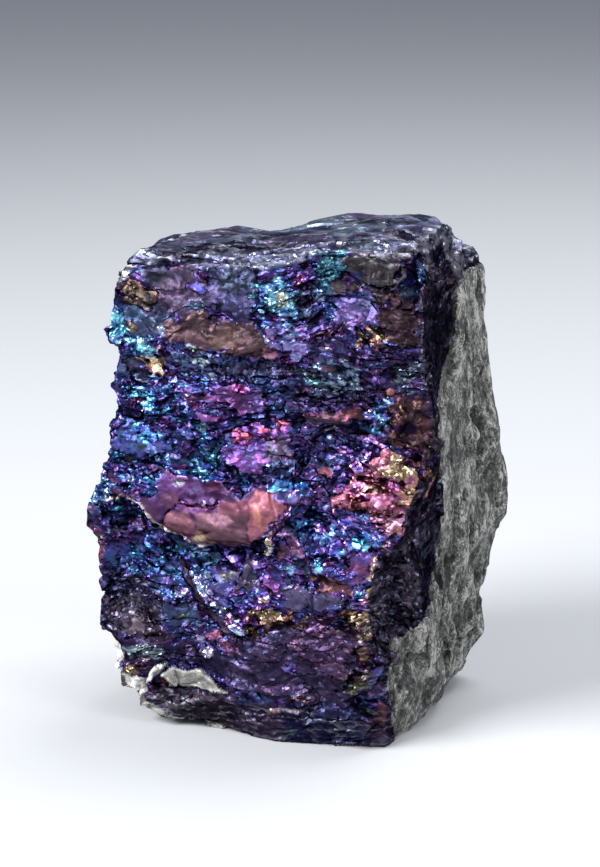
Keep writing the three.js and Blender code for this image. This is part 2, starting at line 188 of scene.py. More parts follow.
BOTTOM_RIM_Z = [(-13, 2.9), (-11, 2.6), (-9.9, 2.45), (-9, 2.0), (-7.9, 1.45), (-7, 0.75),
                (-4, 0.5), (-1, 0)]
ROCK_TOP, LEFT_ROCK_TOP = 36.6, 29.0
ROCK_FRONT_X, ROCK_BACK_X = 6.0, 3.0  # the right rock stays right of these, front and back
LEFT_ROCK_X, LEFT_ROCK_BACK_Y = -10.6, 4.0  # and the left rock stays left of this, and before this


def along(profile, value):
    """Reads a profile of (place, value) pairs."""
    places, values = zip(*profile)
    return np.interp(value, places, values)


def side_maps(points):
    """How much each point belongs to each part of the surface, from 0 to 1."""
    x, y, z = points.T
    ragged = 0.55 * soft_noise(points, 2.4, 31) + 0.3 * soft_noise(points, 0.8, 32)
    wander = 2.2 * soft_noise(points * (1, 1, 0.7), 5.0, 33) + 0.8 * soft_noise(points, 1.8, 34)
    rock = np.minimum.reduce([
        y - along(SEAM_Y, z) + ragged,
        ROCK_TOP - z + 0.8 * ragged,
        x - ROCK_BACK_X - 0.3 * (11 - y) + 1.5 * ragged + wander,
        np.maximum(x - ROCK_FRONT_X + ragged, y - 4),
    ])
    left_rock = np.minimum.reduce([
        y - along(LEFT_SEAM_Y, z) + 0.25 * ragged,
        -x + LEFT_ROCK_X + 0.5 * ragged,
        LEFT_ROCK_BACK_Y - y + 2.0 * ragged + 3.4 * wander,
        LEFT_ROCK_TOP - z + ragged + 2.6 * wander,
    ])
    bottom_rim = along(BOTTOM_RIM_Z, x) - z + 0.15 * ragged
    rock = np.maximum.reduce([rock, left_rock, bottom_rim])
    cap = z - along(CAP_Z, x) + 0.35 * ragged
    strip = np.minimum(x - along(ARRIS_X, z) + 0.1 + 0.3 * ragged, y + 11.2)
    strip = np.maximum(strip, np.minimum(y + 5.5 + ragged, x - 9))
    front = np.minimum(-y - 5.5 + 0.5 * ragged, x + 14.2)
    foot = 3.0 - z + 0.6 * ragged
    lower_left = np.minimum(12.3 - z, -8.0 - x) + ragged
    maps = {
        "rock": soft_step(rock, -0.12, 0.12),
        "cap": soft_step(cap, -0.2, 0.2),
        "strip": soft_step(strip, -0.12, 0.12),
        "front": soft_step(front, -0.8, 0.8),
        "foot": soft_step(foot, -0.6, 0.6),
        "lower_left": soft_step(lower_left, -0.6, 0.6),
    }
    maps["strip"] *= 1 - maps["rock"]
    brow = np.minimum(np.minimum(z - ROCK_TOP, y + 0.5) + 0.8 * ragged, x - 4)
    brow = soft_step(np.maximum(brow, np.minimum(z - ROCK_TOP, 11.8 - x)), -0.3, 0.3)
    maps["cap"] = np.maximum(maps["cap"], brow * (1 - maps["front"])) * (1 - maps["rock"])
    thin_layers = maps["cap"] + np.maximum(0.3 * maps["foot"], 0.12 * maps["lower_left"])
    maps["layered"] = np.clip(thin_layers, 0, 1) * (1 - maps["rock"])
    return maps


block_points = np.array([v.co for v in shape.verts])
print({name: round(float(share.mean()), 2) for name, share in side_maps(block_points).items()})

# %% [markdown]
# ## Colour from the thickness of a film
#
# A tarnish film changes colour as it thickens, roughly from gold through red, violet and blue
# towards green. So a place on the stone gets a film number instead of a colour. The colours listed
# here were chosen and adjusted, not worked out from optics. A little randomness in the number
# gives neighbours that belong together, such as rose beside magenta, or azure beside cyan.

# %% The film colours
FILM_COLOURS = {  # gold is film 0, copper is film 1, and so on
    "gold": (0.78, 0.56, 0.25), "copper": (0.86, 0.34, 0.18), "red": (0.70, 0.16, 0.17),
    "rose": (0.84, 0.18, 0.33), "magenta": (0.64, 0.13, 0.60), "violet": (0.36, 0.17, 0.84),
    "indigo": (0.16, 0.15, 0.76), "blue": (0.08, 0.24, 0.84), "azure": (0.08, 0.44, 0.96),
    "cyan": (0.22, 0.72, 0.96), "teal": (0.06, 0.36, 0.44), "green": (0.14, 0.32, 0.21),
    "olive": (0.38, 0.35, 0.18),
}
DULL_TINT = np.array([1.0, 0.95, 0.98])  # a thick old film goes towards a mauve grey
# paleness is partly painted light: glints and lit edges are painted by moving colours towards PALE
PALE = np.array([0.72, 0.77, 0.97])  # the colour that bright edges go towards


def film_colour(film):
    """Red, green and blue of a film, read between the listed colours."""
    film = np.clip(film, 0, len(FILM_COLOURS) - 1)
    steps = np.arange(len(FILM_COLOURS))
    channels = zip(*FILM_COLOURS.values())
    return np.stack([np.interp(film, steps, channel) for channel in channels], axis=-1)


for film, name in enumerate(FILM_COLOURS):
    print(film, name, film_colour(np.array(film)).round(2))

# %% [markdown]
# ## Named places on the front
#
# The front is what makes this lump worth keeping, so its colours are laid out place by place. The
# outlines were traced, and the numbers were fitted to measured averages in many rounds, so they
# are settings that work here and not properties of the mineral. Those averages hold light as well
# as colour, so a place's lightness holds painted light and shade too: the brightest and palest
# places are painted highlights and glints, and the darkest places in slits, pockets and under
# ledges are painted shade. Each place has an outline in width and height, in millimetres. It says
# its film, how light, dull and pale it is, how many painted glints it has, how rough it is, and how
# far its lower edge stands out. The same place steers the relief and the colour. Later places lie
# on earlier ones.

# %% How a place is written
PLACES = []
# glints is the share of painted glints, bright cells painted into the base colour; sparks have most
KINDS = {  # dull, glints, rough
    "crystals": (0.05, 0.55, 1.0),
    "sparks": (0.03, 1.00, 1.0),
    "satin": (0.12, 0.12, 0.35),
    "facet": (0.30, 0.03, 0.14),
    "plate": (0.38, 0.04, 0.25),
    "shade": (0.05, 0.30, 0.8),
    "layers": (0.40, 0.20, 0.5),
}


def place(name, kind, film, light, outline, lift=0.0, pale=0.0, soft=0.06, width=None, dull=None,
          rough=None):
    """Notes one place. With a width, the outline is an open path and not a border."""
    kind_dull, glints, kind_rough = KINDS[kind]
    PLACES.append({
        "name": name, "outline": outline, "width": width, "soft": soft, "lift": lift,
        "looks": {"film": film, "light": light, "pale": pale, "glints": glints,
                  "rough": kind_rough if rough is None else rough,
                  "dull": kind_dull if dull is None else dull},
    })


def oval(x, z, half_width, half_height, turn=0):
    """An oval outline with eight corners, turned by some degrees."""
    a = math.radians(turn)
    ring = [math.tau * i / 8 for i in range(8)]
    return [(x + half_width * math.cos(t) * math.cos(a) - half_height * math.sin(t) * math.sin(a),
             z + half_width * math.cos(t) * math.sin(a) + half_height * math.sin(t) * math.cos(a))
            for t in ring]


# %% The upper left: a smooth basin between crystal edges
place("plum_haze", "satin", 4.6, .1, oval(-6.6, 36.0, 3.2, 2.2), dull=.6, soft=0.5)
place("left_slate", "satin", 7, .135, oval(-9.6, 33.9, 2.4, 1.5), dull=.5, soft=.5)
place("slate_basin", "satin", 5.8, .12, [(-4.3, 37.9), (-0.6, 37.6), (0.1, 36.4), (-0.5, 34.9),
      (0.1, 33.9), (-1.9, 34.1), (-3.3, 35.0), (-4.4, 36.2)], dull=.45, soft=.5)
place("basin_green", "satin", 7.4, .075, oval(-2.2, 37.1, 1.7, 0.7), dull=.6, soft=0.5)
place("corner_grey", "satin", 3, .045, oval(-12.6, 37.8, 1.4, 2.0), dull=.9, soft=0.3)
place("olive_patch", "plate", 8.5, .016, [(-10.2, 37.5), (-8.6, 37.9), (-7.5, 37.8), (-7.9, 36.4),
      (-9.1, 36.3), (-10.0, 36.9)], soft=.5, dull=.93, rough=.15)
place("gold_top_left", "satin", 0, .055, [(-11.8, 35.7), (-11.3, 36.8), (-10.3, 36.6),
      (-9.8, 36.0), (-8.8, 36.0), (-8.6, 35.5), (-9.2, 34.9), (-9.8, 34.9), (-10.5, 35.6),
      (-11.4, 35.5)], lift=0.35, dull=.15, rough=.19)
place("gold_grain_left", "crystals", .1, .07, oval(-10.9, 36.1, 0.6, 0.5), dull=.2)
place("gold_grain_right", "crystals", .3, .05, oval(-9.4, 35.4, 0.6, 0.4), dull=.2)
place("gold_top_left_under", "shade", .6, .38, [(-11.6, 35.2), (-10.4, 35.2), (-9.4, 34.6)],
      width=0.3, lift=-0.2, dull=.6)
place("purple_spot", "crystals", 5.9, .27, [(-6.2, 36.9), (-5.6, 37.5), (-4.7, 37.4), (-4.4, 36.7),
      (-4.9, 36.1), (-5.8, 36.4)], lift=0.1, soft=0.15, dull=0, rough=.3)
place("pale_fleck_up", "sparks", 4.6, .08, [(-7.8, 37.5), (-7.1, 37.0), (-6.8, 36.7)], width=0.14,
      pale=0.6, rough=.4)
place("crack_blue", "crystals", 7.4, .12, oval(-5.2, 34.9, 0.9, 0.35), dull=0.3, rough=.5)
place("crack_pale", "sparks", 5.6, .17, [(-6.2, 35.5), (-5.5, 35.1), (-4.8, 35.4), (-4.3, 34.9),
      (-3.6, 35.1)], width=0.12, pale=0.5, lift=0.15)
place("brown_lower", "plate", 1.5, .09, [(-7.7, 33.2), (-6.6, 34.4), (-5.4, 34.6), (-4.3, 34.1),
      (-1.9, 34.1), (0.2, 33.8), (1.4, 32.9), (1.3, 32.0), (0.2, 31.1), (-1.2, 31.5), (-3.5, 31.4),
      (-5.0, 31.7), (-6.4, 32.2), (-7.4, 32.5)], lift=.03, dull=.6, soft=.8, rough=.3)
place("brown_lower_centre", "plate", .9, .1, oval(-3.3, 32.3, 1.5, 0.8), dull=.45, soft=.6,
      rough=.19)
place("brown_lower_blush", "plate", 1.8, .085, oval(-5.0, 32.4, 1.0, 0.7), dull=.55, soft=.5,
      rough=.19)
place("red_spot_upper", "satin", 3.2, 1.2, oval(0.7, 31.5, 0.6, 0.5), dull=.4)
place("teal_slate", "satin", 7.8, .095, [(-11.7, 34.6), (-9.9, 34.8), (-9.8, 33.8), (-10.9, 33.7)],
      soft=0.2, dull=.35)
place("azure_column", "sparks", 8.1, 1.75, [(-12.8, 34.1), (-12.1, 34.7), (-11.6, 33.8),
      (-11.2, 33.4), (-11.3, 32.2), (-10.5, 31.4), (-10.6, 30.8), (-11.5, 31.3), (-12.3, 32.1),
      (-12.6, 33.2)], lift=.05, pale=0.1)
place("gold_dot", "crystals", 0, .25, oval(-10.7, 33.0, 0.4, 0.5), dull=.3)
place("white_fleck", "sparks", 6.0, 1, [(-8.9, 33.6), (-7.7, 33.2), (-8.0, 32.5), (-8.6, 33.1)],
      pale=0.8)
place("azure_diagonal", "sparks", 8.2, 1.7, [(-10.3, 32.0), (-9.5, 32.4), (-9.1, 31.2),
      (-8.3, 31.0), (-9.0, 30.3), (-9.9, 30.3), (-10.3, 30.9)], lift=0.3, pale=0.15)

# %% The cyan cluster and the lavender fall, right of the middle
place("indigo_field", "crystals", 5.9, .14, oval(1.8, 35.0, 2.4, 2.6), soft=0.4, dull=.12)
place("cyan_cluster", "sparks", 8.2, .95, [(-0.9, 35.9), (0.0, 37.3), (1.3, 37.5), (2.6, 36.8),
      (3.1, 35.9), (2.8, 35.0), (2.3, 34.5), (1.4, 35.1), (0.6, 34.8), (0.0, 35.2)], lift=0.2,
      pale=0.15)
place("cyan_cluster_green", "crystals", 11, 2.3, [(1.3, 36.6), (2.2, 36.8), (2.4, 35.9),
      (2.1, 35.2), (1.4, 35.5)], pale=0.35, dull=0.0)
place("indigo_below", "sparks", 6.2, .95, [(0.0, 34.8), (2.4, 34.3), (2.5, 33.6), (1.3, 33.7),
      (0.2, 33.9)], dull=.15)
place("lavender_fall", "satin", 5.4, .62, [(0.7, 33.7), (2.1, 33.9), (3.4, 33.9), (4.2, 33.3),
      (4.3, 32.0), (3.3, 30.6), (2.4, 30.9), (1.3, 32.7)], lift=0.2, pale=0.22, soft=.6, rough=.6)
place("dark_teal", "shade", 6.6, .21, [(3.2, 37.4), (4.4, 37.5), (4.6, 35.0), (3.6, 33.9),
      (3.2, 34.9)], lift=-0.15, dull=.45)
place("teal_cluster", "crystals", 9.1, .22, [(4.4, 38.5), (5.0, 39.6), (6.6, 40.0), (7.4, 39.5),
      (7.1, 38.6), (6.6, 37.8), (5.9, 36.9), (4.8, 37.0), (4.3, 37.6)])
place("teal_cluster_core", "sparks", 8.2, .22, oval(6.0, 38.9, 1.0, 0.4, 25), dull=.2)
place("white_lines", "sparks", 7.6, .7, [(4.3, 37.3), (5.4, 36.9), (5.3, 35.9), (4.5, 36.1)],
      pale=0.4)
place("pink_spot", "sparks", 4.1, .7, [(2.9, 38.1), (3.6, 38.4), (4.0, 37.8), (3.4, 37.4),
      (3.0, 37.6)], pale=0.1)
place("taupe_plate", "layers", .3, .088, [(7.6, 39.5), (9.0, 40.0), (11.1, 40.1), (11.3, 39.2),
      (11.4, 38.2), (10.7, 37.3), (9.8, 37.0), (9.0, 37.4), (7.9, 38.2)], lift=.12, dull=.85,
      soft=.5, rough=.5)
# the round ledge is painted almost black, as painted shade in the notch
place("round_ledge", "shade", 7.2, .005, [(11.3, 39.1), (12.0, 39.6), (12.6, 38.6), (13.1, 37.1),
      (12.9, 36.3), (12.8, 35.8), (11.8, 36.1), (10.9, 37.1), (11.2, 37.8)], lift=-0.2, dull=.2,
      rough=.5)
place("round_ledge_teal", "satin", 8.5, .07, oval(11.6, 36.9, 0.6, 0.4), soft=0.3, dull=.4)
place("ledge_rim", "satin", 3.5, .26, [(9.1, 39.5), (10.3, 39.1), (11.2, 39.2), (11.4, 38.4),
      (11.0, 37.9), (10.7, 37.3)], width=0.09, pale=.1, lift=0.15, dull=.9)
# the paler line along the ledge's lower rim is a painted highlight
place("round_ledge_rim", "satin", .4, .09, [(12.4, 35.6), (12.9, 36.1), (13.1, 36.9)], width=0.12,
      pale=0.4, lift=0.15, dull=.3)
place("blue_glint", "sparks", 6.8, 0.7, [(12.0, 39.4), (12.1, 38.1), (12.8, 37.6), (12.4, 38.6)],
      pale=0.2)
place("redbrown_brow", "plate", .4, .105, [(6.0, 37.6), (7.7, 37.7), (8.4, 37.2), (6.3, 36.8)],
      soft=.4, dull=.85)
place("violet_smooth", "satin", 5.4, .3, [(5.7, 36.4), (6.5, 36.5), (8.9, 36.9), (9.8, 35.8),
      (10.0, 34.9), (8.9, 34.0), (8.0, 34.4), (7.4, 33.1), (6.9, 33.5), (7.0, 34.3), (6.3, 35.1)],
      lift=0.3, pale=0.15, soft=.3, rough=.4)
place("violet_smooth_pink", "satin", 4.9, .12, oval(8.5, 35.2, 0.6, 0.9), pale=0.15, soft=0.3)
place("violet_smooth_dark", "satin", 6.5, .13, oval(9.0, 36.4, 0.8, 0.5), soft=0.3, dull=.5)
place("maroon_face", "plate", 1.7, .055, [(9.9, 35.8), (10.7, 37.1), (12.6, 36.1), (12.9, 34.8),
      (12.8, 33.4), (11.2, 32.8), (10.3, 33.8)], lift=0.2, soft=.4, dull=.55, rough=.5)
place("brown_rays", "plate", .6, .04, [(9.2, 37.0), (10.9, 36.9), (10.3, 36.2), (9.8, 36.3)],
      lift=0.2, dull=.5)
place("olive_gold", "crystals", .2, .35, [(7.6, 33.9), (9.6, 34.3), (10.7, 33.7), (10.5, 32.8),
      (9.4, 32.4), (8.5, 33.0)], dull=.25, soft=0.2)
place("dark_purple", "shade", 4.6, .095, [(4.6, 34.2), (6.9, 34.3), (7.4, 32.4), (5.2, 31.9),
      (4.2, 32.6)], dull=.3)
place("pink_glint", "sparks", 3.7, .6, oval(5.5, 32.6, 0.4, 0.2, 50), pale=0.4)

# %% The dark recess across the stone
place("recess", "shade", 6.5, .275, [(-8.4, 30.9), (-5.2, 31.4), (-3.0, 31.2), (0.1, 31.0),
      (3.3, 30.6), (4.8, 30.9), (4.9, 30.0), (3.2, 29.6), (-2.2, 29.2), (-5.0, 29.1), (-8.0, 28.9),
      (-11.6, 28.6), (-11.4, 30.3), (-9.6, 30.0)], lift=-0.25, dull=.3)
place("recess_core", "shade", 5.6, .35, [(-4.5, 30.1), (-1.1, 30.4), (3.3, 30.4), (4.9, 30.5),
      (4.9, 30.0), (3.2, 29.8), (-1.0, 29.6), (-3.9, 29.5)], lift=-0.25, dull=.5)
place("teal_flecks", "crystals", 9.8, 2.6, [(-6.2, 31.4), (-5.0, 31.4), (-4.3, 29.9), (-4.5, 29.5),
      (-5.6, 29.7)], dull=.6)
place("left_dark", "shade", 6.6, .21, oval(-11.0, 29.6, 0.9, 0.9), dull=.55)
place("left_bulge_slate", "satin", 6.8, .3, [(-12.6, 30.3), (-11.7, 30.2), (-11.7, 29.0),
      (-12.3, 29.0)], dull=.4)
place("gold_flake", "satin", .2, 2.4, [(-10.5, 30.4), (-9.4, 30.2), (-8.2, 31.2), (-8.5, 30.4),
      (-8.8, 29.6), (-9.5, 29.4), (-9.7, 28.5), (-10.0, 29.7)], lift=0.35, pale=.05, dull=.1,
      rough=.5)
place("flake_violet", "crystals", 5.3, .4, oval(-7.8, 29.9, 0.6, 0.9), dull=.15)
place("flake_blue", "crystals", 7, 1, oval(-6.9, 30.8, 0.8, 0.6), dull=.4)
place("right_dark", "shade", 6.5, .13, [(0.2, 30.0), (4.9, 29.8), (4.9, 26.0), (2.6, 26.2),
      (0.4, 26.8), (0.2, 28.4)], dull=.2)

# %% The streaks of magenta and blue below it
place("blue_row", "sparks", 7.5, .275, [(-12.3, 27.9), (-9.8, 28.4), (-7.7, 28.2), (-7.5, 27.3),
      (-8.5, 27.4), (-11.6, 27.1)], lift=0.2, dull=.08)
place("under_blue_row", "shade", 5.9, .036, oval(-9.6, 26.2, 2.8, 0.9), lift=-0.1)
place("magenta_streak", "satin", 4.5, .115, [(-6.7, 28.1), (-4.3, 28.1), (-3.2, 28.6), (-1.2, 28.8),
      (0.0, 28.1), (0.1, 26.6), (-1.7, 26.2), (-2.6, 27.0), (-3.6, 27.4), (-5.2, 27.3),
      (-6.9, 27.5)], lift=0.3, soft=.25, dull=.15)
place("streak_dark", "shade", 5.5, .1, oval(-3.9, 27.2, 1.7, 0.28, -4), dull=.15)
place("pink_top", "sparks", 4.2, .45, [(-2.3, 28.7), (-1.2, 28.9), (-1.1, 28.2), (-2.1, 28.1)])
place("pink_loop", "crystals", 4, .5, oval(-5.9, 27.6, 0.7, 0.35), pale=0.15, dull=.15)
place("streak_violet", "satin", 5.3, .2, oval(-0.5, 27.4, 0.7, 1.0), pale=0.1, soft=0.2)
place("left_cyan", "sparks", 7.6, 1.15, [(-10.5, 26.3), (-9.8, 27.0), (-8.9, 26.8), (-9.1, 25.8),
      (-9.7, 25.2), (-10.4, 25.5)], lift=0.25)
place("blue_chip_a", "sparks", 7.8, .75, oval(-8.0, 26.2, 0.6, 0.5), dull=.1)
place("blue_chip_b", "crystals", 6.2, .45, oval(-6.4, 26.8, 0.6, 0.5), lift=0.2, pale=0.1)
place("pink_bar", "satin", 4.2, .42, [(-5.4, 26.5), (-4.4, 26.4), (-3.3, 26.2), (-3.5, 25.9),
      (-4.8, 25.8)], lift=0.3, pale=0.1, dull=0)
place("streak_shadow", "shade", 6, .34, [(-5.6, 25.6), (-4.2, 25.3), (-2.6, 25.9), (-0.6, 26.3),
      (1.6, 26.7)], width=0.3, lift=-0.3)

# %% Three lumps in a row: blue, green-black and magenta
place("blue_block", "satin", 6.4, .3, [(-12.3, 24.8), (-10.9, 25.3), (-9.3, 25.1), (-7.5, 24.1),
      (-7.3, 23.2), (-9.0, 22.8), (-11.3, 22.2), (-12.3, 22.4)], lift=0.35, soft=.25, dull=.15)
place("blue_block_top", "sparks", 7.5, 1.6, [(-10.9, 24.9), (-10.2, 25.3), (-9.0, 25.0),
      (-8.1, 24.3), (-9.5, 23.9), (-10.7, 24.2)])
place("block_green", "satin", 8.4, .06, oval(-10.2, 23.3, 0.7, 0.4), soft=.3, dull=.5, rough=.15)
place("periwinkle_facet", "satin", 6.3, .56, [(-7.5, 25.2), (-5.7, 25.5), (-5.3, 24.9),
      (-6.1, 24.0), (-6.9, 24.5)], lift=0.2, pale=0.12, dull=0)
place("gap_black", "shade", 6.9, .5, [(-7.4, 25.7), (-6.0, 25.8), (-5.0, 25.2), (-4.6, 24.3),
      (-5.8, 23.8)], width=0.28, lift=-0.2)
place("white_spark", "sparks", 9.0, 3.4, oval(-4.9, 25.1, 0.3, 0.35), pale=0.6)
place("green_black", "crystals", 7.9, .115, [(-6.4, 23.9), (-3.2, 24.0), (-3.0, 22.3), (-4.7, 21.4),
      (-6.2, 21.7)], lift=-0.15, dull=.1)
place("green_black_glint", "sparks", 7.8, .14, oval(-5.0, 22.4, 0.9, 0.4), dull=.1)
place("sparkle_row", "sparks", 6.7, 6.5, [(-9.3, 22.7), (-8.0, 23.0), (-6.4, 23.6), (-6.2, 22.9),
      (-7.5, 22.3), (-9.2, 22.2)], pale=.05, lift=0.15)
place("sparkle_pink", "sparks", 5.8, .8, oval(-7.3, 22.7, 0.45, 0.3), pale=0.1)
place("cyan_stroke", "sparks", 8, .85, [(-5.7, 21.6), (-4.7, 21.9), (-3.9, 22.3)], width=0.2)
place("magenta_lump", "satin", 4.8, .235, [(-3.0, 24.6), (-1.8, 25.6), (-0.8, 25.9), (0.6, 25.9),
      (2.5, 26.3), (3.2, 24.7), (3.2, 23.7), (2.1, 22.8), (0.1, 22.1), (-1.2, 22.2), (-2.4, 22.5),
      (-2.8, 23.5)], lift=0.35, pale=0.05, dull=0, soft=.2, rough=.5)
place("lump_blue_edge", "sparks", 6.5, .8, oval(-2.6, 24.5, 0.4, 0.5), pale=0.15)
place("lump_magenta", "satin", 4.8, .24, [(-1.9, 23.4), (-0.6, 24.4), (0.0, 23.4), (-0.7, 22.5),
      (-1.7, 22.6)], soft=0.2, dull=0)
place("lump_violet", "satin", 5.4, .3, oval(-0.2, 23.6, 0.7, 0.8), pale=0.15, soft=0.25, dull=0)
place("lump_grey", "layers", 4.8, .185, [(0.8, 24.8), (2.9, 25.3), (3.2, 23.9), (2.1, 23.0),
      (1.0, 23.4)], soft=.35, dull=.6)
place("lump_lower_glints", "sparks", 6.2, .66, oval(1.9, 23.0, 1.0, 0.35, 20), pale=0.3)
place("coral_edge", "satin", 2.8, .26, [(-1.9, 24.9), (-1.5, 25.4), (0.3, 25.9), (2.3, 26.4),
      (2.6, 26.1), (0.8, 25.2), (-0.9, 24.6)], lift=0.25, dull=0, soft=.15)
place("lump_shadow", "shade", 6.1, .48, [(-2.6, 22.2), (-1.0, 21.7), (0.8, 21.7), (2.6, 22.4),
      (3.5, 23.2)], width=0.36, lift=-0.3, dull=.3)

# %% The great lip: a rose and copper shell across the middle
place("lip", "facet", 4.3, .095, [(-12.9, 21.4), (-11.9, 21.6), (-10.2, 21.9), (-8.4, 21.6),
      (-6.7, 21.1), (-4.5, 21.4), (-2.9, 21.0), (-1.0, 20.0), (-0.3, 21.0), (1.0, 21.2),
      (2.8, 20.8), (3.9, 20.3), (3.5, 19.7), (3.0, 19.2), (2.6, 18.8), (1.5, 17.8), (0.8, 17.1),
      (-0.6, 16.2), (-2.1, 15.9), (-4.4, 15.6), (-5.8, 15.6), (-6.7, 16.2), (-8.4, 16.7),
      (-9.1, 17.5), (-10.1, 18.4), (-11.5, 19.1), (-12.6, 19.2), (-13.2, 20.2)], lift=0.3, dull=.33,
      soft=.15)
place("lip_violet", "crystals", 6.1, .36, [(-12.8, 21.3), (-10.2, 21.8), (-8.4, 21.4),
      (-8.2, 20.1), (-8.8, 19.2), (-10.1, 19.0), (-11.5, 19.4), (-12.4, 20.0)], soft=0.3, dull=.05)
place("lip_white_spark", "sparks", 5.8, .9, oval(-11.0, 20.5, 0.35, 0.3), pale=0.6)
place("lip_pink_dash", "sparks", 4.6, .3, [(-10.7, 19.6), (-10.0, 19.8)], width=0.13)
place("lip_rose", "facet", 4.4, .073, [(-8.3, 20.9), (-4.5, 21.3), (-2.9, 20.6), (-2.8, 19.3),
      (-3.9, 18.6), (-6.4, 18.5), (-7.5, 17.7), (-8.5, 18.3), (-8.8, 19.2)], soft=0.3, dull=.15)
place("lip_pale_spot", "layers", 4.6, .45, oval(-6.8, 20.6, 0.5, 0.25), pale=0.3, soft=0.15,
      dull=.9)
place("lip_red_left", "facet", 3.6, .125, oval(-7.5, 19.3, 0.8, 0.5, 20), soft=.25, dull=.35)
place("lip_red_top_left", "facet", 3.6, .044, oval(-3.7, 20.7, 1.1, 0.5, -10), soft=.25, dull=.12)
place("lip_mauve", "facet", 4.7, .06, oval(-5.1, 20.2, 0.9, 0.7), soft=.4, dull=.25)
place("lip_salmon", "facet", 2.7, .32, [(-7.9, 17.3), (-7.4, 18.2), (-5.6, 18.7), (-5.0, 17.6),
      (-4.6, 16.4), (-6.7, 16.2), (-8.1, 16.8)], soft=0.2, dull=.38)
place("lip_salmon_mid", "facet", 2.7, .22, [(-3.1, 19.4), (-0.4, 20.1), (-0.3, 18.4), (-2.7, 18.2)],
      soft=0.25, dull=.28)
place("lip_gold", "facet", .4, .52, [(-5.0, 16.9), (-4.2, 17.5), (-3.1, 17.1), (-3.2, 15.9),
      (-5.2, 15.8)], soft=0.25, dull=.35)
place("lip_brown", "facet", 3.0, .165, [(-4.9, 18.5), (-0.3, 18.6), (-0.4, 16.3), (-2.1, 15.8),
      (-3.3, 16.0), (-4.5, 16.9)], soft=0.2, dull=.48)
place("lip_orange", "facet", 2.5, .325, [(-0.35, 19.9), (0.2, 21.0), (1.0, 20.8), (2.8, 20.4),
      (2.4, 19.5), (1.9, 18.5), (0.9, 17.3), (-0.2, 16.6)], lift=0.1, dull=.25)
place("lip_orange_light", "facet", 1.4, .65, oval(0.5, 18.7, 0.5, 0.9, 15), pale=0.1, soft=0.3,
      dull=0)
place("lip_red_top", "satin", 5.9, 1.12, oval(2.4, 20.3, 0.9, 0.4, -10), soft=0.15, dull=.3,
      rough=.6)
place("lip_step", "shade", 4.3, .22, [(-6.4, 19.2), (-5.4, 18.9), (-4.4, 19.1), (-3.5, 19.0),
      (-3.1, 19.6)], width=0.13, lift=-0.15, dull=.2)
place("lip_step_glint", "sparks", 5.6, 1, oval(-4.4, 19.3, 0.18, 0.14), pale=0.8)
# painted shade in the crack
place("lip_crack", "shade", 4, .03, [(-8.2, 17.2), (-7.6, 18.0), (-6.9, 18.9)], width=.06,
      lift=-0.1)
place("azure_spot", "crystals", 7.2, 2.1, [(0.9, 20.9), (2.2, 21.9), (2.7, 21.6), (2.9, 20.7),
      (1.8, 20.6)], lift=0.35, rough=.7)
place("teal_crack", "shade", 7.2, .42, [(-1.7, 21.9), (-0.5, 21.9), (-0.6, 20.5), (-1.0, 20.2)],
      lift=-0.25)
place("lip_top_gap", "shade", 7, 1.3, [(-12.1, 22.0), (-10.2, 22.1), (-8.5, 21.8), (-7.4, 21.5),
      (-6.0, 21.3), (-4.5, 21.2), (-2.9, 21.4)], width=0.15, lift=-0.25, dull=.15)
place("bulge_cyan", "sparks", 7.5, 1, [(-14.4, 20.0), (-13.1, 20.7), (-12.6, 19.9), (-13.3, 18.4),
      (-14.0, 17.5), (-14.9, 17.9), (-14.9, 18.9)], pale=.2, lift=0.15)
# the pocket under the bulge is painted dark, as painted shade
place("bulge_pocket", "shade", 7.0, .047, [(-14.2, 17.6), (-13.0, 18.5), (-11.9, 18.9),
      (-10.6, 18.4), (-9.1, 17.4), (-8.3, 16.6), (-9.8, 16.7), (-12.6, 16.8)], lift=-0.3)
place("rim_line", "satin", .2, .72, [(-13.3, 18.5), (-12.0, 19.1), (-10.9, 18.9), (-9.8, 18.4),
      (-8.9, 17.5), (-8.4, 16.8), (-6.8, 16.2), (-5.6, 15.7), (-3.7, 15.7)], width=0.13, pale=0.15,
      dull=.8, lift=0.15)
place("lip_shadow", "shade", 7.7, .17, [(-8.8, 16.2), (-6.0, 15.3), (-3.3, 15.3), (-0.6, 15.8),
      (0.9, 16.7), (2.2, 18.0), (0.6, 15.9), (-0.2, 15.2), (-3.3, 14.3), (-5.6, 13.4),
      (-7.0, 13.7), (-8.6, 15.0)], lift=-0.3, dull=.25)
place("pale_chunk", "sparks", 5.8, 1.6, oval(-5.0, 15.1, 0.5, 0.2), pale=0.5)
place("lip_right_rim", "sparks", 4.9, 1.3, [(1.0, 17.2), (2.2, 18.4), (2.9, 19.3)], width=0.22,
      pale=0.2, dull=.2)

# %% The lower left: layered and brown, with a field of blue crystals
place("blue_field", "crystals", 6.6, .25, [(-14.2, 14.2), (-9.9, 15.0), (-7.6, 15.3), (-6.2, 13.9),
      (-5.6, 12.3), (-6.6, 10.6), (-8.5, 11.2), (-9.9, 12.0), (-11.2, 12.4), (-14.2, 12.2)],
      soft=0.3)
place("blue_left", "satin", 6.9, .19, oval(-12.9, 13.8, 1.1, 0.9), soft=0.3, rough=.25)
place("gold_left", "crystals", .5, .07, [(-14.9, 15.6), (-13.5, 15.7), (-13.4, 15.0),
      (-14.2, 14.2), (-14.9, 14.4)], pale=0.15, dull=.65, rough=.5)
place("green_pale_left", "sparks", 10.3, .24, oval(-12.4, 16.0, 0.7, 0.2), pale=0.5, dull=.15)
place("pink_white", "sparks", 4.7, 2.5, [(-11.6, 16.8), (-10.2, 16.9), (-10.5, 15.9),
      (-11.3, 16.3)], pale=.25)
place("violet_crystals", "sparks", 6.5, .24, oval(-8.4, 12.2, 0.9, 0.5), pale=0.1, rough=.8)
place("white_sparks", "sparks", 5.8, 0.85, oval(-6.9, 11.4, 0.6, 0.5), pale=0.5)
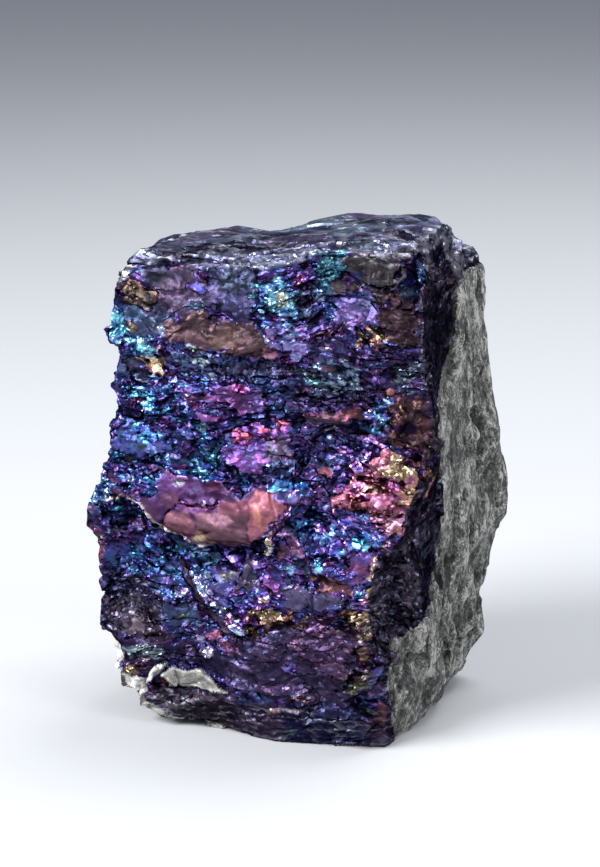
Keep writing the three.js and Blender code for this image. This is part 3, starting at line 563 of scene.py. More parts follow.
place("brown_black", "layers", 5.8, .032, [(-14.2, 12.3), (-11.2, 12.5), (-9.3, 12.1),
      (-8.8, 9.3), (-9.3, 8.7), (-14.2, 8.7)], soft=.3, dull=.4, rough=.95)
place("brown_field", "layers", 4.6, .12, [(-14.0, 9.8), (-11.3, 10.4), (-8.7, 10.8), (-8.1, 8.8),
      (-7.6, 7.0), (-9.1, 6.6), (-12.2, 6.8), (-14.0, 7.4)], soft=.4, dull=.7, rough=.95)
place("pinkish", "layers", 4, .28, [(-12.0, 8.8), (-10.1, 9.0), (-9.9, 7.8), (-11.1, 7.7),
      (-11.9, 7.9)], soft=0.2, dull=.75)
place("navy_green", "layers", 6.7, .14, [(-8.4, 10.2), (-5.6, 10.7), (-4.7, 8.9), (-6.7, 8.0),
      (-8.3, 8.5)], soft=.4, dull=.35, rough=.45)
place("navy_green_heart", "layers", 8.4, .06, oval(-6.7, 9.4, 0.7, 0.35), soft=0.25, dull=.7)
place("lower_left_dark", "layers", 5, .04, [(-12.6, 6.9), (-8.8, 6.9), (-3.4, 7.0), (-1.0, 6.2),
      (-1.6, 4.4), (-4.0, 5.3), (-7.4, 5.7), (-9.4, 4.4), (-12.0, 4.0), (-12.9, 5.5)], soft=0.25,
      dull=.4, rough=.35)
place("teal_low", "crystals", 9, .4, [(-12.3, 5.9), (-10.1, 6.6), (-8.2, 6.2), (-8.6, 5.7),
      (-11.3, 5.3)], soft=0.2, dull=.65)
place("gold_low", "crystals", .5, .55, [(-12.2, 4.1), (-11.3, 4.8), (-10.5, 4.9), (-9.9, 4.5),
      (-10.7, 4.0)], soft=0.15, dull=.3)
place("red_low", "crystals", 3.3, .22, oval(-10.0, 5.2, 0.7, 0.4), dull=.6)
place("groove", "plate", 4.1, .092, [(-6.9, 13.6), (-6.2, 12.3), (-5.2, 10.7), (-3.9, 9.5),
      (-2.4, 8.2), (-1.6, 7.6)], width=0.3, lift=-0.2, soft=0.08, dull=.65)
# the silver ridge is a ridge with painted glints and a pale painted highlight along it
place("silver_ridge", "sparks", 5.9, .9, [(-6.0, 13.0), (-4.6, 13.4), (-3.6, 12.9), (-3.4, 11.6),
      (-2.6, 10.9), (-2.4, 10.1), (-1.5, 9.4), (-0.9, 8.4), (-1.4, 8.0), (-2.6, 9.0), (-3.8, 10.0),
      (-4.9, 11.0), (-5.6, 12.0)], pale=0.45, lift=0.45)
place("silver_ridge_pink", "sparks", 4.0, 1.75, oval(-2.5, 9.7, 0.4, 0.4), pale=0.3)
place("red_spot", "satin", 3.2, .18, [(-4.6, 8.1), (-3.7, 8.5), (-3.0, 8.2), (-3.5, 7.6),
      (-4.3, 7.5)], lift=0.1, dull=.25)
place("violet_spot_low", "crystals", 5.8, 1.15, oval(-5.2, 7.6, 0.6, 0.5), pale=0.15, dull=.4)
place("pink_spot_low", "crystals", 4.2, .34, oval(-2.8, 7.3, 0.5, 0.5), pale=0.1, dull=.3)
place("white_sparkle", "sparks", 5.0, 1.5, oval(-4.5, 6.6, 0.6, 0.4), pale=0.75)
place("white_dot", "sparks", 5.0, .6, oval(-6.0, 6.6, 0.25, 0.2), pale=0.75)

# %% The lower middle: violet facets and a seam of gold
place("violet_ground", "crystals", 5.5, .42, [(-3.6, 13.9), (-0.4, 15.6), (3.0, 16.4), (5.4, 15.8),
      (8.6, 14.8), (9.2, 12.2), (8.8, 11.2), (5.0, 10.9), (1.2, 11.0), (-1.0, 9.6), (-1.6, 10.0),
      (-2.8, 11.2)], soft=0.3)
place("magenta_upper", "satin", 5.5, 1.35, [(-2.8, 14.9), (-0.9, 15.5), (0.3, 15.0), (0.6, 14.0),
      (-0.2, 14.0), (-1.7, 14.0), (-2.4, 14.4)], lift=0.2, dull=0, rough=.5)
place("periwinkle", "satin", 6.0, .3, [(-3.6, 13.5), (-2.5, 13.9), (-1.1, 13.5), (-1.4, 12.5),
      (-2.0, 11.4), (-3.1, 10.9), (-3.5, 12.0)], pale=0.15, lift=0.2, dull=0, soft=.25)
place("periwinkle_top", "satin", 5.2, .18, oval(-2.4, 13.3, 0.8, 0.35), pale=0.15, soft=0.2,
      dull=.9)
place("redbrown_bar", "plate", 4.8, .1, [(-1.1, 14.9), (-0.2, 14.7), (-0.9, 12.8), (-1.7, 11.8),
      (-2.0, 12.0), (-1.3, 13.4)], lift=0.15, dull=.65, rough=.15)
place("bar_side", "satin", 6, .12, oval(-0.5, 12.9, 0.35, 0.9, -18), dull=.7, rough=.2)
place("lip_black", "shade", 4.5, .9, [(1.8, 18.0), (2.6, 17.2), (3.2, 16.0), (3.4, 14.9)],
      width=0.55, lift=-0.2, dull=.35)
place("gold_chip", "sparks", .1, 2.6, [(1.0, 16.9), (1.6, 17.6), (1.6, 16.3), (1.0, 15.2),
      (0.4, 15.3), (0.6, 16.0)], pale=0.3, lift=0.35)
place("maroon_block", "plate", 3.3, .11, oval(2.1, 15.6, 0.6, 0.6), dull=.5)
place("cyan_small", "sparks", 8.5, 2.2, oval(2.7, 14.2, 0.4, 0.5), pale=0.25)
place("magenta_violet", "crystals", 5.2, .34, [(0.0, 14.0), (3.5, 13.6), (3.6, 12.6), (2.8, 11.3),
      (0.6, 11.3), (-0.2, 12.9)], soft=0.2)
place("mv_white", "sparks", 5.4, 2.2, oval(-0.2, 12.9, 0.3, 0.25), pale=0.7)
place("mv_white_right", "sparks", 5.4, 1.4, oval(3.0, 12.9, 0.5, 0.3, 30), pale=0.6)
place("mv_magenta", "crystals", 4.5, .23, oval(1.5, 12.8, 0.9, 0.4))
place("cream_flake", "sparks", 0.8, .35, [(0.1, 11.6), (1.2, 12.4), (0.9, 11.4)], pale=0.7,
      lift=0.2)
place("redbrown_two", "plate", 7.6, .037, [(2.9, 15.5), (3.6, 15.0), (4.8, 14.1), (5.2, 13.4),
      (4.3, 13.7), (3.3, 14.7)], lift=0.15, dull=.6)
place("cyan_spot", "sparks", 9, 4.2, oval(5.2, 15.0, 0.5, 0.5))
place("teal_by_spot", "crystals", 7.3, .19, oval(4.7, 15.9, 0.8, 0.5), dull=.15)
place("maroon_band", "satin", 1.6, .2, [(5.0, 13.9), (6.5, 14.1), (7.9, 13.8), (7.8, 12.6),
      (6.5, 12.3), (5.4, 12.8)], soft=.15, dull=0.35)
place("purple_right", "satin", 5.3, .24, [(8.0, 16.3), (10.0, 16.7), (9.9, 15.5), (8.4, 15.2)],
      soft=0.2)
place("maroon_low", "satin", 4.1, .24, oval(9.0, 14.7, 0.8, 0.7), soft=0.2, dull=.2)
place("blue_spot_low", "sparks", 6.4, 3.8, oval(8.5, 13.2, 0.5, 0.45), pale=0.1)
place("lilac_blue", "crystals", 6, .3, oval(7.4, 11.6, 0.9, 0.45), pale=0.25, dull=.15)
place("magenta_spot", "sparks", 4.4, .7, oval(9.0, 12.2, 0.2, 0.5), pale=0.2)
place("mauve_low", "satin", 5.3, .26, [(2.6, 12.7), (5.0, 12.9), (6.8, 12.2), (6.6, 11.2),
      (3.6, 10.9), (2.6, 11.2)], pale=0.12, dull=.45, soft=.3)
place("gold_arris", "sparks", 0.2, .56, [(10.1, 15.8), (9.8, 15.0), (9.6, 14.3)], width=0.17,
      pale=0.2, lift=0.15)
place("gold_arris_low", "crystals", 0.1, .6, oval(9.3, 12.9, 0.25, 0.5), lift=0.1, dull=.2)
place("cream_arris", "crystals", 1.2, 1.8, [(11.3, 17.9), (10.8, 17.1)], width=0.14, pale=0.35)

# %% The foot of the front: plum plates, layers and a pale chip of quartz
place("plum_ground", "layers", 5, .08, [(-1.9, 8.6), (-0.4, 8.8), (1.0, 9.6), (5.0, 10.4),
      (9.0, 10.0), (10.0, 7.5), (10.9, 4.4), (4.0, 3.6), (-1.8, 3.6), (-2.2, 6.4)], soft=0.3,
      dull=.45)
place("purple_plate", "satin", 4.2, .08, [(4.8, 10.3), (6.3, 10.6), (8.3, 9.7), (9.2, 8.8),
      (8.3, 8.3), (8.6, 7.5), (7.9, 6.2), (6.3, 6.2), (5.1, 6.7), (3.9, 7.4), (3.0, 8.2),
      (3.4, 9.6)], lift=0.3, dull=.45, soft=.4, rough=.45)
place("plate_line_a", "satin", 4.6, .05, [(4.6, 9.6), (6.2, 9.7), (7.6, 9.0)], width=0.06,
      lift=0.08)
place("plate_line_b", "satin", 4.6, .04, [(4.2, 7.9), (5.6, 8.3), (7.0, 7.9)], width=0.06,
      lift=0.08)
place("plate_line_c", "satin", 4.2, .05, [(5.4, 8.9), (6.4, 8.8), (7.4, 9.3)], width=0.06,
      lift=0.08)
place("violet_small", "crystals", 5.2, .45, oval(3.2, 6.3, 0.6, 0.5), pale=0.1)
place("violet_specks", "sparks", 5.2, 0.70, oval(-1.0, 6.2, 0.7, 0.35, -15), pale=0.35)
place("gold_seam_left", "crystals", 0, .43, [(-0.5, 10.3), (0.1, 10.9), (1.0, 11.1), (2.2, 10.7),
      (3.7, 10.6), (3.8, 10.2), (1.7, 10.1), (0.8, 9.7), (0.4, 8.8), (-0.4, 8.6)], lift=0.35,
      dull=.2)
place("seam_shadow", "shade", 1.2, .155, [(0.9, 9.0), (1.6, 9.7), (3.0, 9.9), (4.4, 10.0)],
      width=0.16, lift=-0.2, dull=.5)
place("gold_seam_right", "crystals", .3, .25, [(6.0, 11.0), (7.8, 11.1), (8.7, 11.0), (9.3, 11.2),
      (9.1, 10.2), (9.7, 9.0), (9.3, 8.9), (8.8, 9.2), (8.3, 9.9), (7.1, 10.3), (6.2, 10.7)],
      lift=0.35, dull=0.2)
place("gold_edge", "sparks", 0, .75, oval(9.2, 9.6, 0.4, 0.7), pale=0.35)
# the two pockets are painted near black, as painted shade in the hollows
place("black_pocket", "shade", 0.6, .07, [(8.5, 8.2), (9.5, 8.8), (10.2, 8.5), (10.4, 7.5),
      (9.8, 7.2), (8.9, 7.2)], lift=-0.35)
place("pocket_left", "shade", 0.6, .046, [(7.2, 5.0), (7.9, 6.1), (8.9, 7.2), (9.2, 6.8),
      (8.1, 5.3)], lift=-0.3)
place("gold_lower", "sparks", 12.2, .155, [(8.0, 5.2), (9.1, 6.8), (9.9, 7.4), (10.1, 6.4),
      (9.7, 5.6), (8.8, 4.9)], lift=0.25)
place("gold_lower_glint", "sparks", 0.2, .21, oval(9.7, 6.8, 0.25, 0.5, -20), pale=0.4)
place("foot_brown", "layers", .9, .024, [(-8.7, 3.3), (-5.6, 3.4), (-2.9, 3.0), (-2.0, 1.8),
      (-2.4, 0.4), (-4.5, 0.4), (-6.7, 1.2), (-8.4, 2.2)], soft=.4, dull=.7, rough=.35)
place("foot_navy", "layers", 6.3, .038, [(3.2, 3.5), (9.4, 3.6), (9.9, 1.2), (9.6, 0.0), (2.4, 0.0),
      (2.6, 2.0)], soft=.4, dull=.3)
place("navy_line_a", "satin", 6.2, .025, [(6.1, 2.1), (7.5, 2.6), (8.6, 3.3), (9.3, 3.3)],
      width=0.11, pale=0.35, lift=0.2)
place("navy_line_b", "satin", 6.4, .07, [(4.2, 1.9), (5.3, 2.2), (6.3, 2.4)], width=0.10, pale=0.3,
      lift=0.15)
place("lilac_specks", "sparks", 5.4, .27, oval(7.6, 0.6, 1.2, 0.22), pale=0.35)
place("pink_bumps", "crystals", 2.9, .31, oval(4.4, 4.1, 1.0, 0.4), pale=0.15, dull=.5)
place("lilac_line", "sparks", 4.6, .56, [(0.9, 4.4), (2.1, 4.7), (3.2, 4.7)], width=0.13, pale=0.25)
place("cream_line", "sparks", 1.0, 1.2, [(1.3, 2.5), (2.6, 2.7), (3.7, 2.7)], width=0.14, pale=0.6)
place("rust_corner", "satin", 1.8, .08, [(10.2, 3.8), (11.0, 3.8), (11.2, 2.5), (10.9, 1.6),
      (10.1, 2.1)], soft=0.2, dull=.35)
place("rust", "crystals", .7, .1, oval(-8.0, 3.6, 0.6, 0.35))
QUARTZ_PLACES = [  # how white each chip is, and its outline
    (1.40, [(-14.2, 6.6), (-12.9, 6.5), (-12.5, 5.2), (-12.4, 4.0), (-12.9, 3.0), (-14.2, 3.0)]),
    (0.95, [(-12.8, 3.2), (-11.8, 3.1), (-10.6, 3.7), (-9.7, 3.5), (-9.3, 2.9), (-10.2, 2.3),
            (-11.2, 2.1), (-12.2, 2.2)]),
    (0.88, [(-9.8, 3.5), (-9.2, 4.2), (-8.8, 4.8), (-8.7, 5.2), (-8.3, 5.4), (-7.4, 5.5),
            (-8.2, 4.6), (-9.0, 3.8)]),
    (0.42, [(-8.3, 4.3), (-7.5, 5.1), (-6.9, 5.2), (-6.0, 5.0), (-5.1, 5.2), (-4.3, 4.8),
            (-3.6, 4.3), (-3.1, 3.8), (-2.0, 3.6), (-2.1, 3.4), (-3.6, 3.4), (-5.9, 3.4),
            (-7.0, 3.4), (-7.6, 3.9)]),
]

# %% The right of the front: crystal clusters and the rose knob
place("right_ground", "shade", 5.2, .064, [(4.6, 32.2), (10.6, 32.6), (13.4, 31.8), (13.8, 28.2),
      (13.6, 25.6), (9.0, 25.0), (6.6, 25.6), (3.2, 26.4), (3.0, 29.5)], soft=0.4, dull=.25)
place("glint_dark", "sparks", 7.5, .43, [(3.2, 30.7), (6.0, 31.7), (8.6, 31.0), (8.4, 29.4),
      (6.9, 28.6), (4.5, 28.6), (3.2, 29.1)], dull=.55)
place("glint_cyan", "sparks", 8.1, .18, oval(4.5, 29.6, 0.9, 0.4), pale=0.35)
place("glint_brown", "plate", 1.7, .3, oval(6.0, 30.8, 0.6, 0.25), dull=.6)
place("shell_shadow", "shade", 5.0, .046, [(3.4, 28.4), (5.6, 28.2), (7.4, 28.6), (8.6, 28.9)],
      width=0.3, lift=-0.25, dull=.3)
place("purple_chip", "sparks", 5.4, 0.50, oval(9.8, 30.1, 0.6, 0.4), pale=0.1)
place("orange_chip", "satin", 1, .24, oval(10.7, 29.2, 0.35, 0.3), lift=0.1)
place("right_teal", "sparks", 8.2, .14, [(11.0, 31.2), (12.6, 31.3), (12.6, 29.6), (11.3, 29.5)],
      pale=0.15, dull=.58)
place("brown_right", "satin", 1.6, .105, [(10.9, 28.6), (12.8, 29.0), (13.8, 28.4), (13.8, 25.0),
      (13.5, 22.9), (13.1, 23.7), (12.7, 24.8), (11.6, 24.8), (10.3, 25.4)], dull=.4, soft=0.2,
      rough=.55)
place("brown_right_purple", "satin", 4.4, .03, oval(12.0, 26.6, 0.9, 0.6), soft=0.3)
# painted shade in a small hole
place("dark_hole", "shade", 6.8, 0.02, oval(13.0, 24.2, 0.35, 0.35), lift=-0.3)
place("red_shell", "satin", 2.9, .056, [(3.6, 27.6), (5.6, 27.5), (7.1, 27.9), (8.1, 28.3),
      (8.9, 28.2), (8.9, 27.4), (7.3, 26.5), (5.7, 26.4), (4.6, 26.8)], lift=0.4, dull=.5)
place("red_shell_pink", "satin", 3.7, .03, oval(4.8, 27.4, 0.9, 0.25), pale=0.1)
place("red_shell_light", "satin", 2.6, .095, oval(7.7, 27.6, 0.9, 0.4, 20), soft=0.2, dull=.25)
place("blue_crystal", "sparks", 7.3, 3, [(9.2, 27.2), (9.8, 28.2), (10.6, 28.6), (11.2, 28.1),
      (10.9, 27.2), (10.0, 26.6)], lift=0.3, pale=0.1)
place("blue_below", "satin", 8, .21, [(8.8, 26.8), (10.8, 26.9), (10.5, 25.7), (9.0, 25.5)],
      lift=0.1, rough=.25)
place("black_flecks", "sparks", 5.6, .33, [(3.9, 26.2), (6.3, 26.3), (7.6, 25.9), (7.4, 24.6),
      (6.8, 23.4), (5.6, 22.7), (4.2, 22.7), (3.4, 23.7), (3.2, 25.6)], dull=.2)
place("fleck_line_a", "satin", 5.6, 4, [(4.6, 26.1), (5.4, 25.9), (6.3, 26.0)], width=0.13, pale=.5,
      lift=0.25, dull=0, rough=.1)
place("fleck_line_b", "satin", 5.6, 1.2, [(5.3, 25.1), (6.1, 25.0)], width=0.13, pale=.3, lift=0.25,
      dull=0, rough=.1)
place("violet_pink", "crystals", 5.3, .65, [(7.6, 25.2), (10.4, 25.8), (10.3, 24.7), (7.9, 24.4)],
      pale=0.1, rough=.7)
place("lavender_crystals", "sparks", 5.4, 3.9, [(6.7, 24.2), (7.7, 24.5), (9.4, 24.3), (9.3, 23.8),
      (8.7, 22.9), (8.0, 22.9), (7.2, 23.4)], pale=.05, lift=0.25)
place("redbrown_dull", "plate", 2.0, .12, oval(5.3, 22.2, 0.7, 0.45), dull=.25, rough=.1)
place("purple_mid", "crystals", 5.4, .31, oval(4.8, 20.6, 1.5, 1.4), soft=0.3, dull=.2)
place("azure_right", "sparks", 7, 1.5, oval(3.4, 21.1, 0.7, 0.5), lift=0.15)
place("navy_left", "shade", 6.6, .14, [(3.0, 19.4), (4.6, 18.9), (6.2, 18.6), (5.0, 17.2),
      (3.6, 16.6), (2.6, 17.6)])
place("darkblue_left", "crystals", 6.6, 1.1, oval(3.6, 18.0, 0.5, 0.6))
place("knob", "crystals", 2.9, .275, [(6.0, 19.8), (7.0, 21.4), (7.8, 22.7), (8.4, 22.9),
      (9.4, 23.5), (10.0, 24.4), (10.8, 24.8), (11.6, 24.7), (12.6, 24.0), (13.1, 23.1),
      (13.6, 21.8), (13.2, 20.4), (12.6, 19.6), (12.3, 18.6), (11.4, 17.8), (10.7, 18.2),
      (10.2, 19.0), (9.4, 20.0), (7.9, 19.8), (6.8, 19.6)], lift=0.25, dull=0.15, rough=.75)
place("rose_left", "crystals", 3.1, .97, [(6.0, 19.8), (7.0, 21.4), (7.8, 22.7), (8.4, 22.9),
      (8.7, 22.4), (8.6, 21.4), (7.8, 20.7), (7.0, 19.8)], lift=0.2, pale=0.1, rough=.75)
place("knob_rose_upper", "crystals", 2.8, .28, [(9.3, 23.3), (10.0, 24.4), (10.8, 24.8),
      (10.9, 24.0), (10.5, 23.0), (9.6, 22.7)], rough=.7, dull=.2)
place("knob_gold", "crystals", 0.5, .46, [(10.4, 23.0), (11.0, 24.5), (11.7, 24.6), (12.5, 23.9),
      (13.0, 23.2), (12.7, 22.6), (11.2, 22.6)], pale=0.1, lift=0.1, rough=.75)
place("knob_rose", "crystals", 3.1, .58, [(9.2, 21.8), (10.5, 21.9), (11.9, 22.2), (12.3, 21.8),
      (11.7, 20.9), (11.3, 20.0), (10.1, 20.0), (9.2, 20.9)], lift=0.2, pale=0.08, rough=.75)
place("knob_peach", "sparks", 1.0, .45, [(9.1, 21.5), (9.9, 21.8), (10.8, 21.9)], width=0.2,
      pale=0.1)
place("knob_tan", "crystals", 0.8, .68, [(12.1, 22.3), (12.9, 22.7), (13.4, 22.4), (13.7, 21.6),
      (13.3, 20.4), (12.6, 19.8), (12.0, 20.4), (12.0, 21.3)], dull=.3, rough=.75)
place("knob_mauve", "crystals", 3, .53, [(9.4, 20.1), (10.6, 19.9), (12.4, 19.9), (12.5, 19.2),
      (12.1, 18.4), (11.4, 17.8), (10.7, 18.4), (10.0, 19.3)], dull=.35, rough=.75)
place("knob_slit", "shade", 2.6, .42, [(8.7, 22.6), (9.4, 22.45), (10.9, 22.35), (12.2, 22.3)],
      width=.17, lift=-.5, dull=.2)
place("slit_two", "shade", 3.0, .4, [(8.0, 21.1), (8.7, 20.8), (9.6, 20.9)], width=.12, lift=-.35)
place("violet_patch", "sparks", 5.8, 1.08, [(5.2, 17.8), (6.2, 18.8), (7.9, 19.7), (9.5, 19.7),
      (10.1, 18.9), (10.8, 17.9), (10.2, 16.6), (8.7, 16.3), (7.7, 16.1), (6.3, 15.0), (5.4, 16.2)],
      lift=0.2, pale=0.08)
place("violet_patch_purple", "crystals", 5.8, .12, oval(6.5, 18.0, 0.8, 0.6, 30))
place("violet_cyan", "sparks", 7.6, 1.2, [(7.5, 16.8), (8.4, 17.9), (9.7, 18.0), (10.2, 17.2),
      (9.4, 16.6), (7.9, 16.3)])
print(len(PLACES), "places on the front")

# %% [markdown]
# ## Ground under the places
#
# Under the named places lies a plainer ground for every side, so that nothing is left bare when
# the lump is turned. The cap and the foot are dark and layered. The strip right of the front is
# almost black. The left side and the back were guessed from how such lumps break: duller tarnish
# in broad patches, some of it still brassy.

# %% Paint the ground, then the places
CRYSTAL = np.array([1.0, 1.0, 0.5])  # mm, the usual size of a crystal face
LOOKS = ("film", "light", "dull", "pale", "glints", "rough")
GROUNDS = {  # film, light, dull, pale, glints, rough
    "front": (5.7, 0.17, 0.08, 0.0, 0.45, 0.9),
    "side": (4.6, 0.14, 0.45, 0.0, 0.30, 0.8),
    "strip": (4.4, 0.066, 0.80, 0.0, 0.90, 0.8),
    "cap": (6.4, 0.39, 0.65, 0.0, 0.05, 0.35),
    "foot": (4.6, 0.060, 0.55, 0.0, 0.18, 0.5),
}
SMALL_PLACE = 1.3  # mm; smaller places and paths keep their own outline


def pull(values, share, target):
    """Moves values towards a target, in place: a share of 0 leaves them and 1 replaces them."""
    values += share * (target - values)


def outline_depth(flat, outline, width):
    """How deep each point lies inside an outline, or inside a path of some width, in mm."""
    nearest = np.full(len(flat), np.inf)
    inside = np.zeros(len(flat), dtype=bool)
    ends = outline[1:] if width else outline[1:] + outline[:1]
    for start, end in zip(outline, ends):
        edge = np.subtract(end, start)
        gap = flat - start
        share = np.clip(gap @ edge / (edge @ edge + 1e-12), 0, 1)
        nearest = np.minimum(nearest, ((gap - share[:, None] * edge) ** 2).sum(axis=1))
        crosses = (start[1] > flat[:, 1]) != (end[1] > flat[:, 1])
        height = edge[1] if edge[1] else 1e-12
        inside ^= crosses & (gap[:, 0] < edge[0] * gap[:, 1] / height)
    if width:
        return width - np.sqrt(nearest)
    return np.where(inside, 1, -1) * np.sqrt(nearest)


def grain(points, maps):
    """The points moved so that flat cells laid over them follow the slow bends of the grain."""
    bend = np.stack([
        0.9 * soft_noise(points, 4.0, 43) + 0.25 * soft_noise(points, 1.3, 44),
        0.9 * soft_noise(points, 4.5, 45),
        1.3 * soft_noise(points, 6.0, 41) + 0.4 * soft_noise(points, 1.8, 42)], axis=1)
    return points + bend * (1 - 0.65 * maps["layered"])[:, None]


def paint(points):
    """The looks, the lift and the side maps of every point."""
    maps = side_maps(points)
    broad = soft_noise(points, 4.5, 201)
    middle = soft_noise(points, 1.7, 202)
    ragged_noise = soft_noise(points, 0.8, 204) + 0.6 * soft_noise(points, 0.3, 205)
    looks = {}
    for index, name in enumerate(LOOKS):
        value = np.full(len(points), float(GROUNDS["side"][index]))
        for side in ("front", "strip", "cap", "foot"):
            share = np.maximum(maps[side], maps["rock"] * (side == "strip"))  # dark along the rock
            pull(value, share, GROUNDS[side][index])
        looks[name] = value
    varied = 1 - 0.6 * maps["strip"]
    looks["film"] += varied * ((0.6 + 1.6 * (1 - maps["front"])) * broad + 1.2 * middle)
    looks["light"] *= 1 + 0.7 * middle
    plain_side = (1 - maps["cap"]) * (1 - maps["strip"]) * soft_step(points[:, 1], -1.0, 2.0)
    pale_end = maps["cap"] * soft_step(points[:, 0], 10.5, 13.0)
    looks["light"] += 0.2 * pale_end
    pull(looks["dull"], pale_end, 0.9)
    brass = soft_noise(points, 3.6, 203) + 0.35 * ragged_noise
    brassy = plain_side * soft_step(brass, 0.3, 0.42)
    pull(looks["film"], brassy, 0.5)
    pull(looks["light"], brassy, 0.34)
    strip_brown = maps["strip"] * soft_step(3.4 - np.abs(points[:, 2] - 24.0) + broad, -0.8, 0.8)
    pull(looks["film"], strip_brown, 2.4)
    pull(looks["light"], strip_brown, 0.06)
    lift = np.zeros(len(points))

    warp_x = 0.16 * soft_noise(points, 0.9, 211) + 0.07 * soft_noise(points, 0.35, 212)
    warp_z = 0.16 * soft_noise(points, 0.9, 213) + 0.07 * soft_noise(points, 0.35, 214)
    smooth_flat = np.stack([points[:, 0] + warp_x, points[:, 2] + warp_z], axis=1)
    cells, away = nearest_cell(grain(points, maps), CRYSTAL, 221)
    crystal_flat = smooth_flat - 0.8 * (away * CRYSTAL)[:, (0, 2)]
    stray = scramble(cells, 225) - 0.5
    frontal = soft_step(-points[:, 1], 3.5, 5.0)
    facing = soft_step(1 - maps["rock"] - maps["strip"], 0.45, 0.55) * frontal
    for spot in PLACES:
        border = np.array(spot["outline"])
        small = (spot["width"] or np.ptp(border, axis=0).min() < SMALL_PLACE
                 or spot["looks"]["rough"] < 0.2)
        flat = smooth_flat if small else crystal_flat
        stray_share = 0.1 if small else 0.4 + 0.5 * spot["looks"]["rough"]
        margin = 2 * spot["soft"] + (spot["width"] or 0) + 0.5 * stray_share
        near = np.flatnonzero(
            (facing > 0) & np.all(flat > border.min(axis=0) - margin, axis=1)
            & np.all(flat < border.max(axis=0) + margin, axis=1))
        depth = outline_depth(flat[near], spot["outline"], spot["width"])
        depth += stray_share * stray[near] + 0.8 * spot["soft"] * ragged_noise[near]
        share = facing[near] * soft_step(depth, -0.6 * spot["soft"], 0.6 * spot["soft"])
        sharp = facing[near] * soft_step(depth, -0.06, 0.06)
        for name, value in spot["looks"].items():
            change = value - looks[name][near]
            rainbow = (name == "film") * (np.abs(change) > 1.6)  # avoids all the colours between
            looks[name][near] += np.where(rainbow, sharp, share) * change
        top, bottom = border[:, 1].max(), border[:, 1].min()
        upward = np.clip((flat[near, 1] - bottom) / (top - bottom + 0.3), 0, 1)
        lift[near] += share * spot["lift"] * (1.0 - 0.75 * upward * (spot["lift"] > 0))
    maps["quartz"], maps["whiteness"] = np.zeros(len(points)), np.ones(len(points))
    for whiteness, outline in QUARTZ_PLACES:
        depth = outline_depth(smooth_flat, outline, None)
        share = frontal * soft_step(depth, -0.06, 0.06)
        around = frontal * soft_step(depth, -0.6, -0.3)
        # at each chip's border a pale rim just inside is a painted highlight, and a dark line at
        # the very edge is painted shade
        edge = 0.4 * (1 - soft_step(depth, 0.12, 0.35)) - 0.8 * (1 - soft_step(depth, -0.04, 0.12))
        maps["quartz"] = np.maximum(maps["quartz"], share)
        cloudy = whiteness * (1 + 0.4 * ragged_noise)
        pull(maps["whiteness"], around, np.maximum(cloudy + edge, 0.15))
        pull(looks["rough"], share, 0.45)
        pull(lift, share, 0.28)
    return looks, lift, maps


# %% [markdown]
# ## Flakes and crystals
#
# Sulphide breaks into shell-like flakes, with small blocky crystals between them. Each flake is a
# low cone with a few sides, some of its points pushed about, sunk most of the way into the block.
# They are scattered by area, so that no part is crowded, and only where the ground is rough.
# Overlaps don't matter yet, because the next step joins everything in one skin.

# %% Scatter flakes over the block
FLAKES = [  # how many places are tried, width, thickness, lean in degrees, sides
    (1300, (0.9, 2.0), 0.8, (2, 22), 6),
    (2600, (0.4, 0.9), 0.7, (-35, 40), 4),
]
FLAKE_PROUD = 0.14  # mm that the middle of a flake's top stands over the block
ragged_shape = np.random.default_rng(20)
block_faces = len(shape.faces)


def scattered_places(count):
    """Random places on the block with their outward directions, more of them on rough ground."""
    shape.faces.ensure_lookup_table()
    areas = np.array([face.calc_area() for face in shape.faces[:block_faces]])
    chosen = ragged_shape.choice(block_faces, size=count, p=areas / areas.sum())
    places = []
    for index in chosen:
        face = shape.faces[index]
        shares = ragged_shape.dirichlet((1, 1, 1))
        point = sum((float(share) * vert.co for share, vert in zip(shares, face.verts)), Vector())
        places.append((point, face.normal.copy()))
    looks, lift, maps = paint(np.array([point for point, _ in places]))
    seen = np.array([0.3 + 0.7 * (outward.y < -0.4) for _, outward in places])
    wanted = 0.75 * looks["rough"] ** 2 * (1 - maps["rock"]) * (1 - maps["layered"])
    wanted = wanted * (lift > -0.1) * seen
    keep = ragged_shape.random(count) < wanted
    return [spot for spot, kept in zip(places, keep) if kept and spot[0].z > 1.0]


def add_flake(point, outward, wide, thick, lean, sides):
    """One low cone, laid on the block with its lower edge out, and made a little uneven."""
    wide *= 0.6 if outward.y > -0.7 else 1.0  # so that fewer of them break the outline
    facing = outward.to_track_quat("Z", "Y").to_matrix().to_4x4()
    tip = Euler((-math.radians(lean), 0.2 * ragged_shape.normal(), 0), "XYZ").to_matrix().to_4x4()
    spin = Matrix.Rotation(ragged_shape.uniform(0, math.tau), 4, "Z")
    longer = ragged_shape.uniform(1.0, 1.5)
    stretch = Matrix.Diagonal((longer, 1 / longer, 1, 1))
    spot = Matrix.Translation(point + outward * (FLAKE_PROUD - 0.5 * thick))
    made = bmesh.ops.create_cone(
        shape, cap_ends=True, segments=sides, radius1=0.5 * wide,
        radius2=0.5 * wide * ragged_shape.uniform(0.55, 0.85), depth=thick,
        matrix=spot @ facing @ tip @ spin @ stretch,
    )
    for vert in made["verts"]:
        vert.co += Vector(ragged_shape.uniform(-0.09, 0.09, 3)) * wide


for tries, width, thick, lean, sides in FLAKES:
    for point, outward in scattered_places(tries):
        add_flake(point, outward, ragged_shape.uniform(*width), thick, ragged_shape.uniform(*lean),
                  sides)
print("with flakes:", len(shape.verts), "points,", len(shape.faces), "faces")

# %% [markdown]
# ## One skin
#
# The flakes and the block are separate closed shapes that cross each other. A voxel remesh fills
# them with tiny cubes and draws one closed skin round the lot, which is also even enough to take
# the fine relief. Smaller voxels would keep sharper rims, but take more time and memory.

